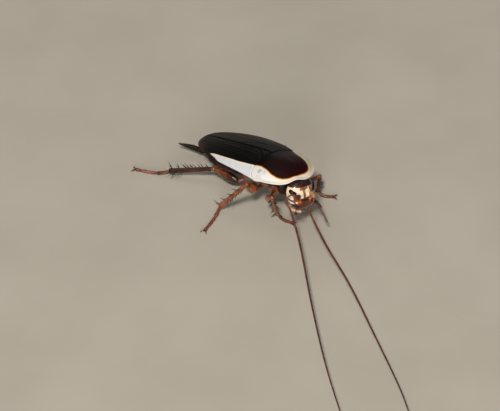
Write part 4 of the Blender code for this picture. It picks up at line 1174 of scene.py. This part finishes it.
def make_feeler(side_name, side, root, reach):
    """A long first joint, a short second one and then rings that grow longer and thinner."""
    socket = socket_place(side) + np.array((-0.15, 0.0, 0.0))
    line = curve_points(np.vstack((level(socket), level(root), reach)), FEELER_SPACING)
    travelled = distance_along(line)
    scape = travelled < SCAPE_LENGTH
    sections = scape, travelled < FEELER_BASE
    first = travelled / SCAPE_LENGTH
    second = (travelled - SCAPE_LENGTH) / PEDICEL_LENGTH
    ring, share = feeler_rings(travelled)
    onward = np.maximum(travelled - FEELER_BASE, 0.0)
    run = onward / (travelled[-1] - FEELER_BASE)
    girth = FEELER_TIP_RADIUS + (FEELER_RADIUS - FEELER_TIP_RADIUS) * (1.0 - run) ** 0.8
    girth *= profile(RING_STOPS, share, 0) * (0.72 + 0.28 * smooth(onward / 7.0))
    radii = np.select(sections, (SCAPE_RADIUS[side_name] * profile(SCAPE_STOPS, first, 0),
                                 PEDICEL_RADIUS * profile(PEDICEL_STOPS, second, 0)), girth)
    radii[-1] = 0.02
    tone = 0.5 * (1.0 - smooth(share / 0.3)) + 0.25 * (ring % 3 == 0) + 0.5 * smooth(run / 0.5)
    tone = np.select(sections, (0.0 if side > 0 else 0.9, 0.0), tone)
    pale = scape * (0.5 if side > 0 else 0.0) * (1.0 - 0.5 * first)
    skin = Skin()
    rings = skin.tube(line, radii, FEELER_SIDES, tone=tone, pale=pale)
    skin.hairs(line, rings, np.random.default_rng(FEELER_SEED + side), FEELER_HAIRS,
               (24, len(line) - 2), FEELER_HAIR, follow=True)
    nodes = ["antenna_%s_%d" % (side_name, number) for number in range(1, 5)]
    skin.build("feeler_" + side_name, FEELER, "red_feeler", *nodes)


make_feeler("right", -1, FEELER_ROOT_RIGHT, FEELER_RIGHT)
make_feeler("left", 1, FEELER_ROOT_LEFT, FEELER_LEFT)


# Legs

# Hip, coxa end and femur root on the body, then knee, ankle and two toe places over the floor
LEG_PLACES = {
    "fore_right": ((5.3, -1.75, -2.12), (3.6, -1.0, -4.2), (3.4, -1.95, -4.6),
                   (6.2, -3.4, 5.3), (5.5, -1.9, 0.85), (6.8, -1.7, 0.3), (8.3, -1.05, 0.2)),
    "fore_left": ((5.3, 1.75, -2.12), (3.9, 1.2, -4.1), (3.9, 2.2, -4.4),
                  (5.6, 5.6, 3.5), (5.9, 5.6, 0.85), (6.65, 6.05, 0.3), (7.75, 7.15, 0.2)),
    "mid_right": ((2.3, -1.72, -2.27), (1.0, -0.9, -3.5), (1.0, -2.35, -3.75),
                  (2.65, -4.7, 6.05), (-1.1, -7.5, 0.85), (-0.1, -9.4, 0.3), (1.0, -12.0, 0.2)),
    "mid_left": ((2.3, 1.9, -2.1), (0.8, 1.2, -4.3), (0.6, 2.2, -4.4),
                 (1.8, 5.0, 4.4), (-2.6, 6.9, 0.85), (-3.8, 7.8, 0.3), (-5.6, 8.1, 0.2)),
    "hind_right": ((-1.2, -1.9, -2.2), (-3.0, -1.2, -3.9), (-3.6, -2.2, -4.2),
                   (-6.35, -4.15, 2.5), (-12.2, -8.8, 0.95), (-13.7, -10.1, 0.3),
                   (-16.5, -12.0, 0.2)),
    "hind_left": ((-1.2, 1.9, -2.2), (-2.9, 1.4, -4.3), (-3.2, 2.4, -4.3),
                  (-4.7, 5.2, 2.7), (-9.9, 4.1, 0.95), (-11.1, 3.9, 0.3), (-13.1, 3.6, 0.2)),
}
COXA_HALF_LENGTH = {"fore": 1.15, "mid": 1.3, "hind": 1.45}
COXA_HALF_WIDTH = {"fore": 0.6, "mid": 0.68, "hind": 0.74}
COXA_TILT = 0.4
COXA_ROWS = 50
COXA_SIDES = 48
TROCHANTER_RADIUS = 0.34
FEMUR_RADIUS = {"fore": 0.55, "mid": 0.82, "hind": 0.76}
FEMUR_FLATNESS = 0.8
TIBIA_RADIUS = {"fore": 0.33, "mid": 0.4, "hind": 0.42}
TIBIA_FLATNESS = 0.92
TARSUS_RADIUS = 0.25
TARSUS_SPACING = 0.04
UPRIGHT = 0.93
SPINE_COUNT = {"fore": 14, "mid": 20, "hind": 28}
SPINE_LENGTH = {"fore": 1.0, "mid": 1.2, "hind": 1.45}
SPINE_RADIUS = 0.085
SPINE_LEAN = 48.0
SPINE_END_LEAN = 14.0
SPINE_ROWS = (35.0, 155.0, 325.0, 215.0, 80.0)
SPINE_TURN_SCATTER = 14.0
SPINE_LEAN_SCATTER = 9.0
# Shares of the shank up to which spines could meet the thigh, and from which the toes
THIGH_SIDE_END = 0.6
TOE_SIDE_START = 0.75
SPINE_TIP_HEIGHT = 0.05
SPINES_TURNED_DOWN = ("hind_left",)
FEMUR_SPINES = {"fore": 9, "mid": 6, "hind": 5}
FEMUR_SPINE_RADIUS = 0.06
CLAW_LENGTH = 0.75
CLAW_ROWS = 16
THIGH_HAIRS = 60
SHANK_HAIRS = 90
TOE_HAIRS = 24
FIRST_LEG_SEED = 40
LEG_SEED_STEP = 20
BALL_ROWS = 14
BALL_SIDES = 20
PAD_RADIUS = 0.1
FOOT_PAD_RADIUS = 0.12
COXA_STOPS = ((0.0, 0.82), (0.12, 1.0), (0.45, 1.0), (0.75, 0.8), (0.93, 0.55), (1.0, 0.3))
TROCHANTER_STOPS = ((0.0, 0.7), (0.3, 0.95), (0.7, 1.0), (1.0, 0.8))
FEMUR_STOPS = ((0.0, 0.35), (0.07, 0.62), (0.22, 0.9), (0.42, 1.0), (0.68, 0.82), (0.88, 0.6),
               (0.95, 0.64), (0.985, 0.55), (1.0, 0.25))
KNEE_STOPS = ((0.0, 1.0), (1.0, 1.0))
TIBIA_STOPS = ((0.0, 0.4), (0.03, 0.75), (0.1, 0.85), (0.45, 0.88), (0.85, 1.0), (0.96, 1.12),
               (0.99, 0.95), (1.0, 0.4))
TOE_STOPS = ((0.0, 0.62), (0.1, 0.8), (0.6, 0.9), (0.9, 1.15), (1.0, 0.75))
SPINE_STOPS = ((0.0, 1.25), (0.06, 1.3), (0.1, 0.95), (0.3, 0.85), (0.55, 0.62), (0.8, 0.36),
               (0.95, 0.16), (1.0, 0.05))
CLAW_STOPS = ((0.0, 0.12), (0.3, 0.1), (0.7, 0.06), (1.0, 0.012))
TARSUS_JOINTS = ((0.0, 0.36), (0.36, 0.52), (0.52, 0.65), (0.65, 0.75), (0.75, 0.97))
THIGH_TONE = {"fore": 0.1, "mid": 0.1, "hind": 0.95}
SHANK_TONE = {"fore_right": 0.35, "fore_left": 0.8, "mid_right": 0.25, "mid_left": 0.8,
              "hind_right": 0.95, "hind_left": 0.95}


def limb_axes(start, end):
    """The way along a limb, to its side and square to both."""
    along = unit(end - start)
    side = unit(np.cross(along, (0.0, 0.0, 1.0)))
    return along, side, np.cross(side, along)


def limb(skin, start, end, stops, radius, flatness, tone, sides=24, rows=60):
    """A limb piece whose radius follows (share of length, share of radius) stops."""
    share = shares(rows)
    share = share - 0.04 * np.sin(share * math.tau)
    path = start + (end - start) * share[:, None]
    upright = abs(unit(end - start)[2]) > UPRIGHT
    rings = skin.tube(path, radius * profile(stops, share, 1), sides, flatness,
                      (1.0, 0.0, 0.0) if upright else (0.0, 0.0, 1.0), tone=tone(share))
    return path, rings


def spine(skin, root, tip, radius, tone):
    """A slender spine, slightly bowed, with a socket ring at its root."""
    share, size = np.array(SPINE_STOPS).T
    path = root + (tip - root) * share[:, None]
    path[:, 2] += 0.04 * np.linalg.norm(tip - root) * np.sin(math.pi * share)
    skin.tube(path, radius * size, 8, hint=(0.2, 0.3, 0.93), tone=tone)


def shank_spines(skin, leg_name, start, end, thigh_way, toe_way, seed):
    """Rows of spines round the shank that keep clear of thigh and toes."""
    pair = leg_name.split("_")[0]
    draw = random.Random(seed)
    along, side, rise = limb_axes(start, end)
    count = SPINE_COUNT[pair]
    for index in range(count):
        place = 0.13 + 0.85 * index / (count - 1)
        scatter = draw.uniform(-SPINE_TURN_SCATTER, SPINE_TURN_SCATTER)
        turn = math.radians(SPINE_ROWS[index % len(SPINE_ROWS)] + scatter)
        out = side * math.cos(turn) + rise * math.sin(turn)
        scatter = draw.uniform(-SPINE_LEAN_SCATTER, SPINE_LEAN_SCATTER)
        lean = math.radians(SPINE_LEAN + scatter)
        length = SPINE_LENGTH[pair] * draw.uniform(0.62, 1.1) * (0.75 + 0.35 * place)
        at_end = place > TOE_SIDE_START
        if at_end:
            lean += math.radians(SPINE_END_LEAN)
        crowd = toe_way if at_end else thigh_way
        if out.dot(crowd) > 0.2 and (at_end or place < THIGH_SIDE_END):
            out = -out
        if leg_name in SPINES_TURNED_DOWN and out[2] > 0.0:
            out = -out
        root = start + (end - start) * place + out * TIBIA_RADIUS[pair] * 0.55
        tip = root + (out * math.sin(lean) + along * math.cos(lean)) * length
        tip[2] = max(tip[2], SPINE_TIP_HEIGHT)
        spine(skin, root, tip, SPINE_RADIUS * draw.uniform(0.85, 1.1), 0.9)


def thigh_spines(skin, start, end, pair, seed):
    """A row of short spines under the thigh's outer half."""
    draw = random.Random(seed)
    along, side, rise = limb_axes(start, end)
    count = FEMUR_SPINES[pair]
    for index in range(count):
        place = 0.3 + 0.62 * index / (count - 1)
        flank = side * (0.3 if index % 2 else -0.3) - rise
        girth = FEMUR_RADIUS[pair] * np.interp(place, *np.array(FEMUR_STOPS).T)
        root = start + (end - start) * place + unit(flank) * girth * 0.85
        tip = root + unit(flank + along * 0.7) * draw.uniform(0.3, 0.55)
        spine(skin, root, tip, FEMUR_SPINE_RADIUS, 0.8)


def leg_hairs(skin, path, rings, count, kind, seed):
    draw = np.random.default_rng(seed)
    skin.hairs(path, rings, draw, count, (2, len(path) - 2), kind, tone=0.9)


def joint_start(end, before, target, end_radius, radius):
    """Where the CAD's next limb piece starts, past the end of the one before it."""
    along = unit(end - before)
    bend = math.acos(min(max(-along.dot(unit(target - end)), -1.0), 1.0))
    if bend > math.pi / 2.0:
        return end + along * (GAP + radius * math.sin(bend))
    return end + along * (radius + GAP + end_radius * math.cos(bend)) / math.sin(bend)


def ball(skin, centre, radius, tone, joint=0.0):
    height = np.linspace(-1.0, 1.0, BALL_ROWS)
    path = centre + np.array((0.0, 0.0, radius)) * height[:, None]
    radii = radius * np.sqrt(np.maximum(1.0 - height ** 2, 0.0004))
    skin.tube(path, radii, BALL_SIDES, hint=(1.0, 0.0, 0.0), tone=tone, joint=joint)


def make_claws(name, end, along):
    """Two hooked claws that spread from the last joint."""
    side = unit(np.cross(along, (0.0, 0.0, 1.0)))
    share = shares(CLAW_ROWS)
    reach = share ** 0.85 * CLAW_LENGTH * 0.78
    spread = np.sin(share * 1.5) * CLAW_LENGTH * 0.58
    claws = Skin()
    for turn in (1.0, -1.0):
        root = end - along * 0.12 + side * turn * 0.05
        path = root + along * reach[:, None] + side * turn * spread[:, None]
        path[:, 2] = root[2] + 0.12 * np.sin(math.pi * share) + (0.05 - root[2]) * share ** 1.6
        claws.tube(path, profile(CLAW_STOPS, share), 10, tone=0.35 + 0.6 * share)
    claws.build(name + "_claws", SPINE, "brown_shank")


def make_toes(skin, start, toes, seed):
    """Five joints with pale pads underneath."""
    line = curve_points(np.vstack((start, toes)), TARSUS_SPACING)
    last = len(line) - 1
    for number, (low, high) in enumerate(TARSUS_JOINTS):
        piece = line[int(low * last):int(high * last) + 2]
        share = shares(len(piece))
        rings = skin.tube(piece, TARSUS_RADIUS * profile(TOE_STOPS, share, 1),
                          tone=0.45 + 0.25 * share)
        leg_hairs(skin, piece, rings, TOE_HAIRS, SHANK_HAIR, seed + number)
        if number < len(TARSUS_JOINTS) - 1:
            pad = piece[int(len(piece) * 0.8)] - np.array((0.0, 0.0, TARSUS_RADIUS * 0.8))
            pad[2] = max(pad[2], PAD_RADIUS)
            ball(skin, pad, PAD_RADIUS, 0.1, 0.8)
    along = unit((line[last] - line[last - 12]) * np.array((1.0, 1.0, 0.0)))
    end = line[last] + along * 0.05
    pad = end + along * 0.22
    pad[2] = FOOT_PAD_RADIUS + FLOOR_CLEARANCE
    ball(skin, pad, FOOT_PAD_RADIUS, 0.1, 0.7)
    return end, along


def make_coxa(skin, pair, hip, end):
    """A broad flat plate under the chest with a raised rim along its edges."""
    hip = np.array(hip) + np.array((0.0, 0.0, 0.45))
    share = shares(COXA_ROWS)
    size = profile(COXA_STOPS, np.maximum(share - 0.16, 0.0) / 0.84)[:, None]
    turn = full_turn(COXA_SIDES)
    ahead = np.abs(np.cos(turn))
    x = COXA_HALF_LENGTH[pair] * size * np.cos(turn)
    y = COXA_HALF_WIDTH[pair] * size * np.sin(turn) * (1.0 - 0.1 * near_line(ahead, 0.72, 0.1))
    z = math.copysign(COXA_TILT, hip[1]) * (1.0 - share[:, None]) * y
    centre = hip + (np.array(end) - hip) * share[:, None]
    tone = 0.42 + 0.3 * near_line(share, 1.0, 0.12)[:, None] - 0.3 * near_line(ahead, 1.0, 0.12)
    skin.rings(level(centre[:, None] + np.stack((x, y, z), -1)), tone=tone)


def make_knee(skin, knee, tibia_start, femur_tip, radius):
    """Two balls and the short link between them."""
    ball(skin, knee, femur_tip * 0.72, 0.35)
    ball(skin, tibia_start, radius * 0.98, 0.4)
    limb(skin, knee - unit(tibia_start - knee) * 0.1, tibia_start, KNEE_STOPS, radius * 0.85, 1.0,
         lambda share: 0.5, rows=8)


def make_thorns(leg_name, thigh, shank, toe_way, seed):
    """The spines of shank and thigh as one piece."""
    thorns = Skin()
    shank_spines(thorns, leg_name, *shank, unit(thigh[0] - thigh[1]), toe_way, seed)
    thigh_spines(thorns, *thigh, leg_name.split("_")[0], seed + 1)
    thorns.build("leg_" + leg_name + "_spines", SPINE, "brown_shank")


def make_leg(leg_name, places, seed):
    pair = leg_name.split("_")[0]
    name = "leg_" + leg_name
    coxa_end, femur_start = level(places[1:3])
    knee, ankle, *toes = np.array(places[3:])
    radius = TIBIA_RADIUS[pair]
    femur_tip = FEMUR_RADIUS[pair] * 0.62
    skin = Skin()
    make_coxa(skin, pair, *places[:2])
    ball(skin, coxa_end, 0.3, 0.5)
    limb(skin, coxa_end, femur_start + (knee - femur_start) * 0.05, TROCHANTER_STOPS,
         TROCHANTER_RADIUS, 0.9, lambda share: 0.55, rows=20)
    path, rings = limb(
        skin, femur_start, knee, FEMUR_STOPS, FEMUR_RADIUS[pair], FEMUR_FLATNESS,
        lambda share: (THIGH_TONE[pair] * (1.0 - 0.6 * share) + 0.3 * near_line(share, 0.0, 0.15)
                       + 0.3 * near_line(share, 1.0, 0.06)), sides=32)
    leg_hairs(skin, path, rings, THIGH_HAIRS, THIGH_HAIR, seed)
    tibia_start = joint_start(knee, femur_start, ankle, femur_tip, radius * 0.72)
    make_knee(skin, knee, tibia_start, femur_tip, radius)
    path, rings = limb(
        skin, tibia_start, ankle, TIBIA_STOPS, radius, TIBIA_FLATNESS,
        lambda share: SHANK_TONE[leg_name] + 0.25 * near_line(share, 1.0, 0.1))
    leg_hairs(skin, path, rings, SHANK_HAIRS, SHANK_HAIR, seed + 1)
    toe_way = unit(toes[0] - ankle)
    end, along = make_toes(skin, ankle - toe_way * 0.05, toes, seed + 2)
    skin.build(name + "_skin", LEG, "amber_leg",
               *(name + part for part in ("_coxa", "_femur", "_tibia", "_tarsus")))
    make_thorns(leg_name, (femur_start, knee), (tibia_start, ankle), toe_way, seed + 9)
    make_claws(name, end, along)


for number, (leg_name, places) in enumerate(LEG_PLACES.items()):
    make_leg(leg_name, places, FIRST_LEG_SEED + LEG_SEED_STEP * number)


# Floor and light

FLOOR_HALF = 1.5
# Place in the frame, size, power and colour
LAMPS = (
    ((-0.33, -0.33, 0.71), 0.12, 5.8, (1.0, 0.985, 0.95)),
    ((-0.57, -0.58, 0.25), 0.3, 3.7, (1.0, 0.99, 0.97)),
    ((0.05, 0.35, 0.8), 0.6, 1.1, (0.97, 0.98, 1.0)),
    ((0.5, 0.56, 0.12), 0.3, 0.15, (1.0, 1.0, 1.0)),
)
SKY_COLOUR = (0.93, 0.95, 1.0, 1.0)
SKY_STRENGTH = 0.09


def make_floor():
    mesh = bpy.data.meshes.new("floor")
    square = ((-1.0, -1.0), (1.0, -1.0), (1.0, 1.0), (-1.0, 1.0))
    corners = [(FLOOR_HALF * x, FLOOR_HALF * y, 0.0) for x, y in square]
    mesh.from_pydata(corners, [], [(0, 1, 2, 3)])
    mesh.materials.append(floor_shader())
    floor = bpy.data.objects.new("floor", mesh)
    bpy.context.scene.collection.objects.link(floor)


def make_lamps():
    for number, (place, size, power, colour) in enumerate(LAMPS):
        data = bpy.data.lights.new("lamp_%d" % number, "AREA")
        data.size = size
        data.energy = power
        data.color = colour
        lamp = bpy.data.objects.new("lamp_%d" % number, data)
        lamp.location = place
        lamp.rotation_mode = "QUATERNION"
        lamp.rotation_quaternion = (-Vector(place)).to_track_quat("-Z", "Y")
        bpy.context.scene.collection.objects.link(lamp)


def make_sky():
    sky = bpy.data.worlds.new("soft_sky")
    sky.use_nodes = True
    background = sky.node_tree.nodes["Background"]
    background.inputs["Color"].default_value = SKY_COLOUR
    background.inputs["Strength"].default_value = SKY_STRENGTH
    bpy.context.scene.world = sky
    bpy.context.scene.view_settings.view_transform = "Standard"


make_floor()
make_lamps()
make_sky()
